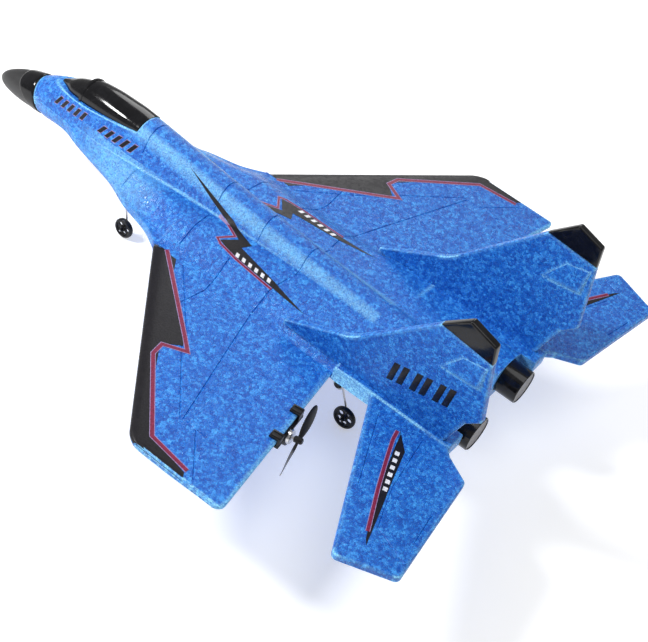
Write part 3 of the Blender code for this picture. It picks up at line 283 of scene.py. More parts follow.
lower_stations = [
    (-166.2, 9.8, -3.7, -5.0, -13.8, 9.8, 74, 82), (-158.0, 11.8, -3.8, -4.4, -13.5, 11.9, 74, 82),
    (-149.5, 13.0, -3.9, -4.7, -13.2, 12.0, 70, 78), (-139.0, 14.6, -4.0, -5.0, -13.2, 13.5, 58, 72),
    (-127.4, 18.3, -4.2, -5.6, -13.2, 18.0, 40, 66), (-113.0, 21.8, -4.4, -6.4, -13.2, 40.0, 17.5, 62),
    (-98.0, 25.6, -4.6, -7.0, -13.2, 300.0, 2.4, 60), (-80.0, 33.2, -4.9, -7.0, -13.2, 300.0, 2.4, 60),
    (-62.0, 38.2, -5.2, -7.0, -13.2, 300.0, 2.4, 60), (-50.0, root_w, -5.0, -7.0, -13.2, 300.0, 2.4, 60),
    (-31.0, root_w, -6.0, -7.0, -13.2, 300.0, 2.2, 60), (-27.0, root_w, -6.0, -7.0, -12.8, 300.0, 1.9, 50),
    (-5.0, root_w, -6.0, -7.0, -9.5, 300.0, 1.2, 35), (30.0, root_w, -5.4, -6.6, -8.2, 300.0, 1.0, 30),
    (61.3, root_w, -3.6, -5.6, -7.6, 300.0, 1.0, 30), (62.0, 34.0, -3.5, -5.4, -7.6, 300.0, 1.0, 30),
    (118.5, 34.0, -2.2, -3.2, -5.5, 300.0, 1.0, 30)]
nose_y, kink_y, body_end, boom_end, centre_end = -166.2, -50.0, 118.5, 127.0, 106.0
nozzle_x, nozzle_z, nozzle_r = 22.0, -0.4, 9.0
keel_z = -13.2


def fair(table, y, breaks=(kink_y, 61.3, 62.0)):
    """Station values at y on smooth runs that only turn sharply at the breaks."""
    low = max([b for b in breaks if b <= y + 1e-6], default=-1e9)
    high = min([b for b in breaks if b > y + 1e-6], default=1e9)
    rows = np.array([row for row in table if low - 1e-6 <= row[0] <= high + 1e-6])
    if len(rows) == 1:
        return rows[0, 1:]
    gap = np.diff(rows[:, 0])[:, None]
    slope = np.diff(rows[:, 1:], axis=0) / gap
    grade = np.vstack([slope[:1], np.zeros((len(rows) - 2, slope.shape[1])), slope[-1:]])
    for k in range(1, len(rows) - 1):
        both = slope[k - 1] * slope[k]
        level = np.where(both > 0, slope[k - 1] + slope[k], 1.0)
        grade[k] = np.where(both > 0, 2 * both / level, 0.0)
    i = int(np.clip(np.searchsorted(rows[:, 0], y, side="right") - 1, 0, len(rows) - 2))
    t = (y - rows[i, 0]) / gap[i, 0]
    a, b = rows[i, 1:], rows[i + 1, 1:]
    return ((2 * t ** 3 - 3 * t ** 2 + 1) * a + (t ** 3 - 2 * t ** 2 + t) * gap[i, 0] * grade[i]
            + (3 * t ** 2 - 2 * t ** 3) * b + (t ** 3 - t ** 2) * gap[i, 0] * grade[i + 1])


def round_ridge(values, chord_at, arc_at):
    """Station values with the ridge's radius taken from its chord, which changes evenly."""
    values = list(values)
    values[chord_at] /= sin(radians(values[arc_at]))
    return values


def by_chord(table, radius_at, arc_at):
    return [tuple(v * sin(radians(row[arc_at])) if k == radius_at else v for k, v in enumerate(row))
            for row in table]


upper_stations = by_chord(upper_stations, 5, 6)
lower_stations = by_chord(lower_stations, 5, 6)


def part_z(y):
    return float(np.interp(y, [40, boom_end], [-3.0, -0.8]))


def smooth(t):
    t = min(max(t, 0.0), 1.0)
    return t * t * (3 - 2 * t)


def rake(y, z):
    return -0.37 * smooth((y + 140.0) / (nose_y + 140.0)) * (z + 4.0)


def canopy_base(y):
    return 12.4 + 7.6 * (y + 156.0) / 58.0


def nacelle_share(x):
    return smooth((x - 8.9) / 3.6) * (1 - smooth((x - 32.5) / 3.6))


def hump(top, radius, arc, flank, deck):
    """Half of a round ridge from its crest, then a straight flank to its foot on the deck."""
    points = [(radius * sin(arc * k / 14), top - radius * (1 - cos(arc * k / 14))) for k in range(15)]
    x, z = points[-1]
    foot = x + max(z - deck, 0) / tan(flank)
    return points + [(x + (foot - x) * k / 4, z + (min(z, deck) - z) * k / 4) for k in range(1, 5)]


def eased(points, count, rounds):
    """The section redrawn at even spacing with its corners eased; its two ends stay put."""
    p = np.array(points)
    run = np.concatenate([[0], np.cumsum(np.hypot(*np.diff(p, axis=0).T))])
    at = np.linspace(0, run[-1], count)
    q = np.column_stack([np.interp(at, run, p[:, k]) for k in (0, 1)])
    for _ in range(rounds):
        ghost = np.vstack([[-q[1, 0], q[1, 1]], q])
        q[:-1] = (ghost[:-2] + 2 * ghost[1:-1] + ghost[2:]) / 4
        q[0, 0] = 0.0
    return [tuple(v) for v in q]


def upper_section(y, covered):
    width, rim, deck, top, radius, flank, flat = round_ridge(fair(upper_stations, y), 4, 5)
    points = hump(top, radius, radians(flank), radians(flank), deck)
    foot = min(points[-1][0], width - 0.2)
    points[-1] = (foot, deck)
    shoulder = deck - (deck - 5.8) * smooth((y + 50.0) / 77.5)
    crown = 2.4 * smooth((y - 61.0) / (body_end - 61.0))
    for k in range(1, 61):
        share = k / 60
        x = foot + (width - foot) * share
        if share < flat:
            z = deck + (shoulder - deck) * share / flat
        else:
            z = shoulder + (rim - shoulder) * smooth((share - flat) / (1 - flat))
        bulge = max(0.0, 1 - ((x - nozzle_x) / (nozzle_r + 1.5)) ** 2)
        points.append((x, z + crown * sqrt(bulge) * (1 if share < flat else 0)))
    points = eased(points, 92, 3)
    if covered:
        seat = canopy_base(y + rake(y, canopy_base(y))) - 0.3
        points = [(x, min(z, seat)) for x, z in points]
    return points


def lower_section(y):
    width, rim, deck, keel, radius, arc, flank = round_ridge(
        fair(lower_stations, y, (kink_y, -31.0, 61.3, 62.0)), 4, 5)
    points = [(x, -z) for x, z in hump(-keel, radius, radians(arc), radians(flank), -deck)]
    foot = min(points[-1][0], width - 0.2)
    points[-1] = (foot, deck)
    depth = -13.4 + 2.0 * smooth(y / body_end)
    start = smooth((y + 31.0) / 4.0)
    for k in range(1, 61):
        share = k / 60
        x = foot + (width - foot) * share
        z = deck + (rim - deck) * share ** 2
        points.append((x, z + (depth - z) * start * nacelle_share(x)))
    return eased(points, 92, 3)


def ring(y, section, seam_z, rim):
    """A whole ring of a half body: its outer edge eased by `rim`, then the flat parting side."""
    x_end, z_end = section[-1]
    way = 1 if z_end > seam_z else -1
    rim = min(rim, 0.8 * abs(z_end - seam_z))
    inner = [(x, z) for x, z in section if x < x_end - rim]
    z_in = float(np.interp(x_end - rim, [s[0] for s in section[-12:]], [s[1] for s in section[-12:]]))
    arc = [(x_end - rim + rim * sin(a), z_in - way * rim * (1 - cos(a))) for a in
           (k * pi / 8 for k in range(5))]
    half = eased(inner + arc, 92, 0)
    port = [(x, y + rake(y, z), z) for x, z in reversed(half)]
    starboard = [(-x, yy, z) for x, yy, z in reversed(port[:-1])]
    seam_y = y + rake(y, seam_z)
    w = port[0][0]
    return port + starboard + [(-w, seam_y, seam_z), (w, seam_y, seam_z)]


def stations(start, end, extra, step=1.6):
    count = int((end - start) / step)
    ys = {round(start + (end - start) * k / count, 4) for k in range(count + 1)}
    ys = {y for y in ys if all(abs(y - e) > 0.35 for e in extra)}
    return sorted(ys | set(extra))


def skin(rings, capped=True):
    """Faces over rings of equally many points; the ends are capped with flat faces."""
    bm = bmesh.new()
    loops = [[bm.verts.new(p) for p in ring] for ring in rings]
    count = len(rings[0])
    for first, second in zip(loops, loops[1:]):
        for i in range(count):
            j = (i + 1) % count
            bm.faces.new((first[i], first[j], second[j], second[i]))
    if capped:
        bm.faces.new(list(reversed(loops[0])))
        bm.faces.new(loops[-1])
    bmesh.ops.recalc_face_normals(bm, faces=bm.faces)
    return bm


def half_body(start, end, extra, section, side, seam_of):
    """Rings of one moulding; the last ones draw in a little so that its rear edge is eased."""
    rings = []
    for y in stations(start, end - 1.0, extra):
        rim = 0.0 if kink_y <= y <= 61.4 else 0.9
        rings.append(ring(y, section(y), seam_of(y), rim))
    last = section(end)
    for k in range(1, 5):
        a = k * pi / 8
        inset = 0.8 * (1 - cos(a))
        y = end - 0.8 * (1 - sin(a))
        rings.append(ring(y, [(max(x - inset * x / last[-1][0], 0), z - side * inset) for x, z in last],
                          seam_of(y), 0.9))
    return mesh_of(skin(rings), "half_body")


def covered_section(y):
    return upper_section(y, -156.0 <= y < -98.1)


upper = half_body(nose_y, boom_end, [-156.2, -156.0, -98.2, -98.05, kink_y, 61.3, 62.0],
                  covered_section, 1, lambda y: part_z(y) + 0.05)
lower = half_body(nose_y, body_end, [kink_y, -31.0, -27.0, 61.3, 62.0], lower_section, -1,
                  lambda y: part_z(y) - 0.05)


def moved(bm, matrix):
    bmesh.ops.transform(bm, matrix=matrix, verts=bm.verts)
    return bm


def block(low, high):
    bm = bmesh.new()
    bmesh.ops.create_cube(bm, size=1.0)
    bmesh.ops.scale(bm, vec=[h - l for l, h in zip(low, high)], verts=bm.verts)
    bmesh.ops.translate(bm, vec=[(h + l) / 2 for l, h in zip(low, high)], verts=bm.verts)
    return bm


def turned(profile, steps=64, axis="Y", closed=True):
    """A closed outline of (radius, along) turned about one axis through the drawing's origin."""
    bm = bmesh.new()
    rings = []
    for r, h in profile:
        if r < 1e-6:
            rings.append([bm.verts.new((0, 0, h))] * steps)
        else:
            rings.append([bm.verts.new((r * cos(2 * pi * k / steps), r * sin(2 * pi * k / steps), h))
                          for k in range(steps)])
    pairs = list(zip(rings, rings[1:] + rings[:1])) if closed else list(zip(rings, rings[1:]))
    for first, second in pairs:
        for k in range(steps):
            j = (k + 1) % steps
            corners = []
            for v in (first[k], first[j], second[j], second[k]):
                if v not in corners:
                    corners.append(v)
            if len(corners) > 2:
                bm.faces.new(corners)
    turn = {"X": Matrix.Rotation(pi / 2, 4, "Y"), "Y": Matrix.Rotation(-pi / 2, 4, "X"),
            "Z": Matrix.Identity(4)}[axis]
    bmesh.ops.transform(bm, matrix=turn, verts=bm.verts)
    bmesh.ops.recalc_face_normals(bm, faces=bm.faces)
    return bm


def capped_rod(radius, low, high, axis="Y", steps=48):
    return turned([(0, low), (radius, low), (radius, high), (0, high)], steps, axis, closed=False)


def loose(mesh, name="tool"):
    """A mesh as an object for Boolean work only."""
    obj = bpy.data.objects.new(name, mesh)
    bpy.context.scene.collection.objects.link(obj)
    return obj


def mended(mesh):
    """A cut mesh with its slivers merged away and faces that lie on each other taken out."""
    bm = bmesh.new()
    bm.from_mesh(mesh)
    bmesh.ops.remove_doubles(bm, verts=bm.verts, dist=2e-4)
    bmesh.ops.dissolve_degenerate(bm, edges=bm.edges, dist=2e-4)
    bm.verts.index_update()
    seen, twins = {}, set()
    for face in bm.faces:
        corners = frozenset(v.index for v in face.verts)
        if corners in seen:
            twins |= {face, seen[corners]}
        seen[corners] = face
    bmesh.ops.delete(bm, geom=list(twins), context="FACES")
    bm.to_mesh(mesh)
    bm.free()
    return mesh


def carve(mesh, tools, operation="DIFFERENCE"):
    """The mesh after the tool meshes are cut from it or joined to it."""
    bench = loose(mesh, "bench")
    shelf = bpy.data.collections.new("shelf")
    others = []
    for tool in tools:
        data = mesh_of(tool, "tool") if isinstance(tool, bmesh.types.BMesh) else tool
        other = bpy.data.objects.new("tool", data)
        shelf.objects.link(other)
        others.append(other)
    bpy.context.scene.collection.children.link(shelf)
    cut = bench.modifiers.new("cut", "BOOLEAN")
    cut.operation = operation
    cut.solver = "EXACT"
    cut.operand_type = "COLLECTION"
    cut.collection = shelf
    bpy.context.view_layer.update()
    graph = bpy.context.evaluated_depsgraph_get()
    made = bpy.data.meshes.new_from_object(bench.evaluated_get(graph))
    made.materials.clear()
    for other in others + [bench]:
        bpy.data.objects.remove(other, do_unlink=True)
    bpy.data.collections.remove(shelf)
    return mended(made)


def bay_tools():
    """The battery bay, the hatch's rim, and the hinge's trough and pin hole."""
    tools = [block((-10, -90, keel_z - 5), (10, -46, 4.5))]
    tools.append(block((-12, -92, keel_z - 5), (12, -44, keel_z + 1.6)))
    tools.append(moved(capped_rod(1.5, -88.3, -47.7), Matrix.Translation((-10.5, 0, keel_z + 1.2))))
    tools.append(moved(capped_rod(0.8, -95.3, -40.7), Matrix.Translation((-10.5, 0, keel_z + 1.2))))
    return tools


stem_x, stem_y = 22 - 1.6 - 1.0 - 1.9, 66.1 - 10.4 - 2.6
nose_leg = (-2.5, -111.4)
upper_tools = [block((-33.8, body_end, -30), (33.8, boom_end + 2, 30)),
               block((-11, centre_end, -30), (11, boom_end + 2, 30)),
               block((-10, -90, -8), (10, -46, 4.5))]
lower_tools = bay_tools() + [block((-11, centre_end, -30), (11, boom_end + 2, 30)),
                             block((-2.6, -40.8, keel_z - 3), (2.6, -31.2, keel_z + 4.3))]
for x, y, z in ((stem_x, stem_y, -13.7), (-stem_x, stem_y, -13.7), (*nose_leg, keel_z - 0.3)):
    lower_tools.append(moved(capped_rod(2.2, -1, 7.6, "Z", 24), Matrix.Translation((x, y, z))))
for side in (1, -1):
    bore = Matrix.Translation((side * nozzle_x, body_end, nozzle_z))
    upper_tools.append(moved(capped_rod(nozzle_r + 0.3, -5.3, 20), bore))
    lower_tools.append(moved(capped_rod(nozzle_r + 0.3, -5.3, 20), bore))
upper = carve(upper, upper_tools)
lower = carve(lower, lower_tools)


def tree_of(mesh):
    return BVHTree.FromPolygons([v.co for v in mesh.vertices], [tuple(p.vertices) for p in mesh.polygons])


def drop(surface, x, y):
    """The point and the upward normal of a surface straight below a point in plan."""
    hit, normal, _, _ = surface.ray_cast(Vector((x, y, 60.0)), Vector((0, 0, -1)))
    return (hit, normal if normal.z > 0 else -normal) if hit else (None, None)


def groove_tool(surface, path, width=0.8, depth=0.42):
    """A V-shaped cutter that follows a surface along a path in plan."""
    points = []
    for a, b in zip(path, path[1:]):
        count = max(2, int((Vector(b) - Vector(a)).length / 1.5))
        points += [Vector(a).lerp(Vector(b), k / count) for k in range(count)]
    points.append(Vector(path[-1]))
    rings = []
    for i, p in enumerate(points):
        hit, normal = drop(surface, p.x, p.y)
        if hit is None:
            continue
        ahead = points[min(i + 1, len(points) - 1)] - points[max(i - 1, 0)]
        along = Vector((ahead.x, ahead.y, 0)).normalized()
        across = normal.cross(along).normalized()
        top = hit + normal * 0.25
        spread = width / 2 * (1 + 0.25 / depth)
        rings.append([top + across * spread, top - across * spread, hit - normal * depth])
    return skin(rings)


# grooves that imitate skin panels, in plan; both sides are alike
spine_rings = (-91.0, -42.5, -14.6, 12.0)
deck_lines = [[(14.0, -41.6), (38.0, -40.2)], [(16.3, -87.2), (27.0, -88.2)], [(25.5, -16.5), (44.6, -13.6)],
              [(17.5, 12.2), (30.0, 10.4), (44.4, 11.8)]]
plain_top = tree_of(upper)
tools = []
for y in spine_rings:
    reach = 12.5 if y < 0 else 14.5
    tools.append(groove_tool(plain_top, [(-reach, y + 1.2), (-6, y), (0, y - 0.3), (6, y), (reach, y + 1.2)]))
for line in deck_lines:
    for side in (1, -1):
        tools.append(groove_tool(plain_top, [(side * x, y) for x, y in line]))
found = bend_highlights(upper)
top_verts, top_faces = [v.co.copy() for v in upper.vertices], [tuple(p.vertices) for p in upper.polygons]


def piece(name, made, finish, body="airframe", stands_for=(), place=stance, sharp=32):
    """A drawing in millimetres becomes a finished piece at its place, riding on a body."""
    mesh = mesh_of(made, name) if isinstance(made, bmesh.types.BMesh) else made
    mesh.name = name
    mesh.transform(place)
    mesh.materials.clear()
    mesh.materials.append(finish)
    mesh.shade_smooth()
    mesh.set_sharp_from_angle(angle=radians(sharp))
    obj = bpy.data.objects.new(name, mesh)
    bpy.context.scene.collection.objects.link(obj)
    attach(obj, body)
    if stands_for:
        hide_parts(*stands_for)
    return obj


def off_the_joint(p):
    """No painted highlight where the wing is glued on, and little along the nose's lower rim."""
    if kink_y - 1 < p.y < 61.6 and abs(p.x) > 43.6:
        return 0.0
    if p.y > 112:
        return 0.4
    return 0.3 if p.y <= kink_y - 1 and p.z < 2.5 and p.y > nose_y + 2 else 1.0


def painted_shoulder_highlight(p):
    """Painted highlight on the spine's shoulders and the front of the deck's rim, standing in for the lamp's
    glints there.
    """
    spine = max(0.0, 1 - ((abs(p.x) - 7.6) / 3.4) ** 2) if -118 < p.y < 58 and p.z > 1.0 else 0.0
    bow = max(0.0, 1 - ((p.y + 98) / 34) ** 2) if p.z < 9.0 and abs(p.x) > 12 else 0.0
    return max(0.62 * spine, 0.5 * bow)


upper = mark_edges(carve(upper, tools), found, off_the_joint, painted_shoulder_highlight)
piece("upper_body", upper, blue_foam, stands_for=("fuselage_upper_front", "fuselage_upper_middle",
      "left_tail_boom", "right_tail_boom"))
lower = mark_edges(lower, bend_highlights(lower), off_the_joint)
piece("lower_body", lower, blue_foam, stands_for=("fuselage_lower",))

# ---------------------------------------------------------------- wings
# Each wing is a flat-topped foam panel about 6 mm thick with a round leading edge, butted and glued
# to the centre body.  Moulded grooves mark the flaps and skin panels on its upper side.

def wing_edges(x):
    t = (x - 45.0) / 100.0
    inset = 4.5 * (1 - sqrt(max(0.0, 1 - (max(0.0, x - 140.5) / 4.5) ** 2)))
    return kink_y + 75.3 * t + inset, 61.0 + 15.8 * t - inset


def wing_ring(x, front, rear, full, tip):
    """Top and bottom points round one section; the trailing edge has its corners eased."""
    round_part = [0.085 * (1 - cos(k * pi / 16)) for k in range(9)]
    flat_part = [0.13, 0.2, 0.3, 0.4, 0.5, 0.6, 0.7, 0.8, 0.9, 0.96, 0.985, 0.994, 1.0]
    upper_side, lower_side = [], []
    for c in round_part + flat_part:
        bow = sqrt(min(c / 0.085, 1.0) * (2 - min(c / 0.085, 1.0)))
        thick = bow * (2.2 + (full - 2.2) * smooth((1 - c) / 0.6)) * tip
        droop = 0.42 * full * (1 - bow) + 0.5 * full * (1 - tip) * bow
        nick = 0.45 * max(0.0, (c - 0.985) / 0.015) ** 2
        y = front + (rear - front) * c
        upper_side.append((x, y, -droop - nick))
        lower_side.append((x, y, -droop - max(thick, 0.02) + nick))
    return upper_side + list(reversed(lower_side))


wing_lines = [[(42.5, -30.7), (82.0, 3.5)], [(84.8, 2.8), (119.9, 32.3)],
              [(45.5, 12.2), (59.6, 16.1), (119.1, 33.5), (119.3, 41.0), (141.3, 58.4)],
              [(58.3, 17.0), (58.7, 54.9)], [(45.4, -13.4), (50.3, -12.6), (69.0, -15.0)],
              [(89.4, 45.6), (89.4, 54.9)], [(119.3, 41.6), (119.6, 60.0)]]
plain_tops = {}
for word, side in (("left", 1), ("right", -1)):
    xs = [root_w + (140.0 - root_w) * k / 40 for k in range(41)]
    xs += [140.5 + 4.5 * sin(k * pi / 16) for k in range(0, 8)]
    rings = []
    for x in xs:
        front, rear = wing_edges(x)
        t = (x - 45.0) / 100.0
        tip = sqrt(max(0.03, 1 - (max(0.0, x - 143.6) / 1.42) ** 2)) if x > 143.6 else 1.0
        rings.append([(side * a, b, c) for a, b, c in wing_ring(x, front, rear, 6.0 - 1.6 * t, tip)])
    wing = finer(mesh_of(skin(rings), "wing"))
    found = bend_highlights(wing)
    plain_wing = tree_of(wing)
    plain_tops[side] = BVHTree.FromPolygons(
        top_verts + [v.co.copy() for v in wing.vertices],
        top_faces + [tuple(i + len(top_verts) for i in p.vertices) for p in wing.polygons])
    tools = [groove_tool(plain_wing, [(side * max(x, 45.4), y) for x, y in line]) for line in wing_lines]
    wing = mended(finer(carve(wing, tools)))
    mark_edges(wing, found, lambda p: 1.0 if abs(p.x) > 46.5 else 0.0)
    piece(f"{word}_wing_panel", wing, blue_foam, stands_for=(f"{word}_wing",))

# ---------------------------------------------------------------- printed film on deck and wings
# Thin vinyl film, printed black, crimson and white, is stuck on the deck beside the spine and along
# the leading edges.  It follows the foam, so the beads show faintly through it.
def film(bm, outline, skins, lift=0.09, spacing=1.3, side=1):
    """A thin closed film over a surface, cut to an outline in plan, added to a drawing."""
    line = []
    for a, b in zip(outline, outline[1:] + outline[:1]):
        count = max(1, int(hypot(b[0] - a[0], b[1] - a[1]) / spacing))
        line += [(a[0] + (b[0] - a[0]) * k / count, a[1] + (b[1] - a[1]) * k / count) for k in range(count)]
    area = sum(a[0] * b[1] - b[0] * a[1] for a, b in zip(line, line[1:] + line[:1]))
    if area < 0:
        line.reverse()
    p = np.array(line)
    q = np.roll(p, -1, axis=0)
    inner = []
    for x in np.arange(p[:, 0].min() + spacing / 2, p[:, 0].max(), spacing):
        for y in np.arange(p[:, 1].min() + spacing / 2, p[:, 1].max(), spacing):
            crosses = (p[:, 1] > y) != (q[:, 1] > y)
            span = np.where(crosses, q[:, 1] - p[:, 1], 1.0)
            left = crosses & (x < p[:, 0] + (q[:, 0] - p[:, 0]) * (y - p[:, 1]) / span)
            away = np.hypot(p[:, 0] - x, p[:, 1] - y).min()
            if left.sum() % 2 and away > 0.6 * spacing:
                inner.append((x, y))
    cut = delaunay_2d_cdt([Vector(v) for v in line + inner], [], [list(range(len(line)))], 1, 1e-5)
    verts, faces = cut[0], cut[2]
    top, bottom = [], []
    for v in verts:
        hit, normal = drop(skins, side * v.x, v.y)
        if hit is None:
            hit, normal, _, _ = skins.find_nearest(Vector((side * v.x, v.y, 0.0)))
        top.append(bm.verts.new(hit + normal * lift))
        bottom.append(bm.verts.new(hit - normal * 0.05))
    seen = {}
    for face in faces:
        bm.faces.new([top[i] for i in face])
        bm.faces.new([bottom[i] for i in reversed(face)])
        for i, j in zip(face, face[1:] + face[:1]):
            seen[frozenset((i, j))] = None if frozenset((i, j)) in seen else (i, j)
    for pair in seen.values():
        if pair:
            i, j = pair
            bm.faces.new((top[j], top[i], bottom[i], bottom[j]))


def strip(path, width):
    """The outline of a band of even width along a path, with mitred corners."""
    path = [Vector(p) for p in path]
    left, right = [], []
    for i, p in enumerate(path):
        before = (p - path[i - 1]).normalized() if i else (path[1] - p).normalized()
        after = (path[i + 1] - p).normalized() if i < len(path) - 1 else before
        across = Vector((-before.y - after.y, before.x + after.x)).normalized()
        reach = width / 2 / max(0.45, across.dot(Vector((-before.y, before.x))))
        left.append(tuple(p + across * reach))
        right.append(tuple(p - across * reach))
    return left + right[::-1]


def side_film(bm, outline, skins, side, lift, grow):
    """A small closed film on a side of the body, drawn in side view as (along, height)."""
    middle = sum((Vector(p) for p in outline), Vector((0, 0))) / len(outline)
    grown_line = [Vector(p) + (Vector(p) - middle).normalized() * grow * 1.4 for p in outline]
    cells = 5
    top, bottom = [], []
    for i in range(cells + 1):
        for j in range(cells + 1):
            low = grown_line[0].lerp(grown_line[1], i / cells)
            high = grown_line[3].lerp(grown_line[2], i / cells)
            p = low.lerp(high, j / cells)
            hit, normal, _, _ = skins.ray_cast(Vector((side * 80, p.x, p.y)), Vector((-side, 0, 0)))
            normal = normal if normal.x * side > 0 else -normal
            top.append(bm.verts.new(hit + normal * lift))
            bottom.append(bm.verts.new(hit - normal * 0.05))
    n = cells + 1
    for i in range(cells):
        for j in range(cells):
            quad = [i * n + j, (i + 1) * n + j, (i + 1) * n + j + 1, i * n + j + 1]
            bm.faces.new([top[q] for q in quad])
            bm.faces.new([bottom[q] for q in reversed(quad)])
    border = ([(i * n) for i in range(n)] + [cells * n + j for j in range(1, n)]
              + [i * n + cells for i in range(cells - 1, -1, -1)] + [j for j in range(cells - 1, 0, -1)])
    for a, b in zip(border, border[1:] + border[:1]):
        bm.faces.new((top[b], top[a], bottom[a], bottom[b]))


def printed(name, color, coarse):
    """Film printed one colour, with the foam's beads pressing through it and specks of wear."""
    mat, tree, shader = material(name, Specular_IOR_Level=0.22)
    beads = use_group(tree, bead_group)
    spot = wired(tree, "ShaderNodeTexCoord").outputs["Object"]
    speck = noise(tree, spot, 1400.0, 4.0)
    worn = [tuple(c * k for c in color) for k in (0.72, 1.0, 1.28)]
    tint = ramp(tree, speck, [(0.36, worn[0]), (0.5, worn[1]), (0.68, worn[2])])
    tree.links.new(tint, shader.inputs["Base Color"])
    sheen = ranged(tree, beads.outputs["Roughness"], 0.3, 0.6, 0.34, coarse)
    tree.links.new(sheen, shader.inputs["Roughness"])
    bump(tree, shader, beads.outputs["Height"], 0.22, 0.0001)
    return mat


print_black = printed("printed_black_film", (0.011, 0.010, 0.013), 0.52)
print_crimson = printed("printed_crimson_film", (0.20, 0.018, 0.055), 0.5)
print_pale = printed("printed_pale_film", (0.30, 0.22, 0.42), 0.5)
print_white = printed("printed_white_film", (0.72, 0.74, 0.8), 0.5)

bolt = [(6.6, -64.4), (10.2, -45.2), (12.4, -32.6), (17.6, -20.5), (24.9, -26.4), (27.2, -18.3),
        (28.7, 8.5), (30.8, 31.4), (25.1, 8.5), (20.8, -16.0), (16.0, -13.4), (11.1, -29.3), (9.4, -41.9)]
bolt_edge = [(12.5, -37.5), (13.7, -30.6), (17.3, -23.1), (24.8, -28.2), (26.6, -24.6),
             (28.3, -13.4), (29.1, -0.9), (29.9, 10.6)]
bars = [(26.0 + 0.12 * k, -15.6 + 4.1 * k) for k in range(6)]
tip_arc = [(140.5 + 4.3 * sin(k * pi / 10), wing_edges(140.5 + 4.3 * sin(k * pi / 10))[0] + 0.15)
           for k in range(5)]
band = ([(44.6, kink_y + 0.1)] + [(x, wing_edges(x)[0] + 0.12) for x in (60, 80, 100, 120, 140)] + tip_arc
        + [(144.75, 31.5), (144.75, 55.5), (141.2, 53.2), (137.2, 31.1), (100.2, -1.3), (92.5, -2.3),
           (86.2, 4.8), (80.9, 1.0), (44.2, -42.9)])
band_edge = [(43.8, -42.6), (81.3, 1.6), (87.5, 8.6), (92.9, -2.2), (100.2, -1.1), (136.7, 31.0),
             (139.7, 53.6)]


def edge_sleeve(bm, side):
    """The black film where it rolls over the rounded leading edge of a wing."""
    rings = []
    tip_part = [140.5 + 4.4 * sin(k * pi / 16) for k in range(1, 7)]
    for x in [45.2 + 95.3 * k / 44 for k in range(45)] + tip_part:
        front, rear = wing_edges(x)
        full = 6.0 - 1.6 * (x - 45.0) / 100.0
        round_edge = wing_ring(x, front, rear, full, 1.0)
        line = [Vector(p[1:]) for p in [round_edge[-1], *round_edge[:11]]]
        outer, inner = [], []
        for k in range(1, len(line) - 1):
            ahead = (line[k + 1] - line[k - 1]).normalized()
            out = Vector((-ahead.y, ahead.x)) if ahead.x > 0 or ahead.y > 0 else Vector((ahead.y, -ahead.x))
            outer.append((side * x, *(line[k] + out * 0.1)))
            inner.append((side * x, *(line[k] - out * 0.05)))
        rings.append(outer + inner[::-1])
    sleeve = mesh_of(skin(rings), "sleeve")
    bm.from_mesh(sleeve)
    bpy.data.meshes.remove(sleeve)


inks = {"black": print_black, "crimson": print_crimson, "pale": print_pale, "white": print_white,
        "dark": print_black}


def stick(name, **films):
    """Each colour of a printed film becomes a piece of its own."""
    for ink, made in films.items():
        bmesh.ops.recalc_face_normals(made, faces=made.faces)
        piece(f"{name}_{ink}", made, inks[ink], sharp=60)


for word, side in (("left", 1), ("right", -1)):
    skins = plain_tops[side]
    black, crimson, pale, white = (bmesh.new() for _ in range(4))
    film(black, bolt, skins, 0.09, side=side)
    film(black, band, skins, 0.09, side=side)
    edge_sleeve(black, side)
    film(pale, strip(bolt_edge, 1.5), skins, 0.11, side=side)
    film(crimson, strip(bolt_edge, 0.95), skins, 0.14, side=side)
    film(pale, strip(band_edge, 2.4), skins, 0.11, side=side)
    film(crimson, strip(band_edge, 1.75), skins, 0.14, side=side)
    for x, y in bars:
        film(white, [(x - 1.2, y), (x + 1.2, y + 1.0), (x + 1.2, y + 3.0), (x - 1.2, y + 2.0)], skins,
             0.13, side=side)
    stick(f"{word}_deck_film", black=black, crimson=crimson, pale=pale, white=white)

# slanted marks on the nose sides, in two groups
for word, side in (("left", 1), ("right", -1)):
    dark, pale = bmesh.new(), bmesh.new()
    for low_a, high_a, low_b, high_b in (
            ((-152.0, 5.6), (-150.0, 10.6), (-128.0, 9.0), (-127.0, 13.6)),
            ((-119.5, 9.6), (-117.6, 13.6), (-94.0, 10.6), (-92.4, 15.0))):
        for k in range(5):
            a, b = (k + 0.14) / 5, (k + 0.62) / 5
            corners = [(low_a[0] + (low_b[0] - low_a[0]) * t, low_a[1] + (low_b[1] - low_a[1]) * t)
                       for t in (a, b)]
            tops = [(high_a[0] + (high_b[0] - high_a[0]) * t + 0.9, high_a[1] + (high_b[1] - high_a[1]) * t)
                    for t in (b, a)]
            side_film(pale, corners + tops, plain_top, side, 0.09, 0.28)
            side_film(dark, corners + tops, plain_top, side, 0.12, 0.0)
    stick(f"{word}_nose_marks", dark=dark, pale=pale)

# ---------------------------------------------------------------- tailplanes
# Flat foam panels 3.8 mm thick, swept hard, glued into the outer sides of the tail booms.  Each has
# one slanted film mark and shallow moulded hinge lines on its upper side.
def rounded(corners, radii, steps=7):
    """The outline with each corner replaced by an arc."""
    out = []
    for i, (corner, r) in enumerate(zip(corners, radii)):
        p = Vector(corner)
        if not r:
            out.append(tuple(p))
            continue
        before = (Vector(corners[i - 1]) - p).normalized()
        after = (Vector(corners[(i + 1) % len(corners)]) - p).normalized()
        half = before.angle(after) / 2
        middle = p + (before + after).normalized() * (r / sin(half))
        first = p + before * (r / tan(half)) - middle
        last = p + after * (r / tan(half)) - middle
        start, sweep = atan2(first.y, first.x), first.angle_signed(last)
        out += [(middle.x + r * cos(start - sweep * k / steps), middle.y + r * sin(start - sweep * k / steps))
                for k in range(steps + 1)]
    return out


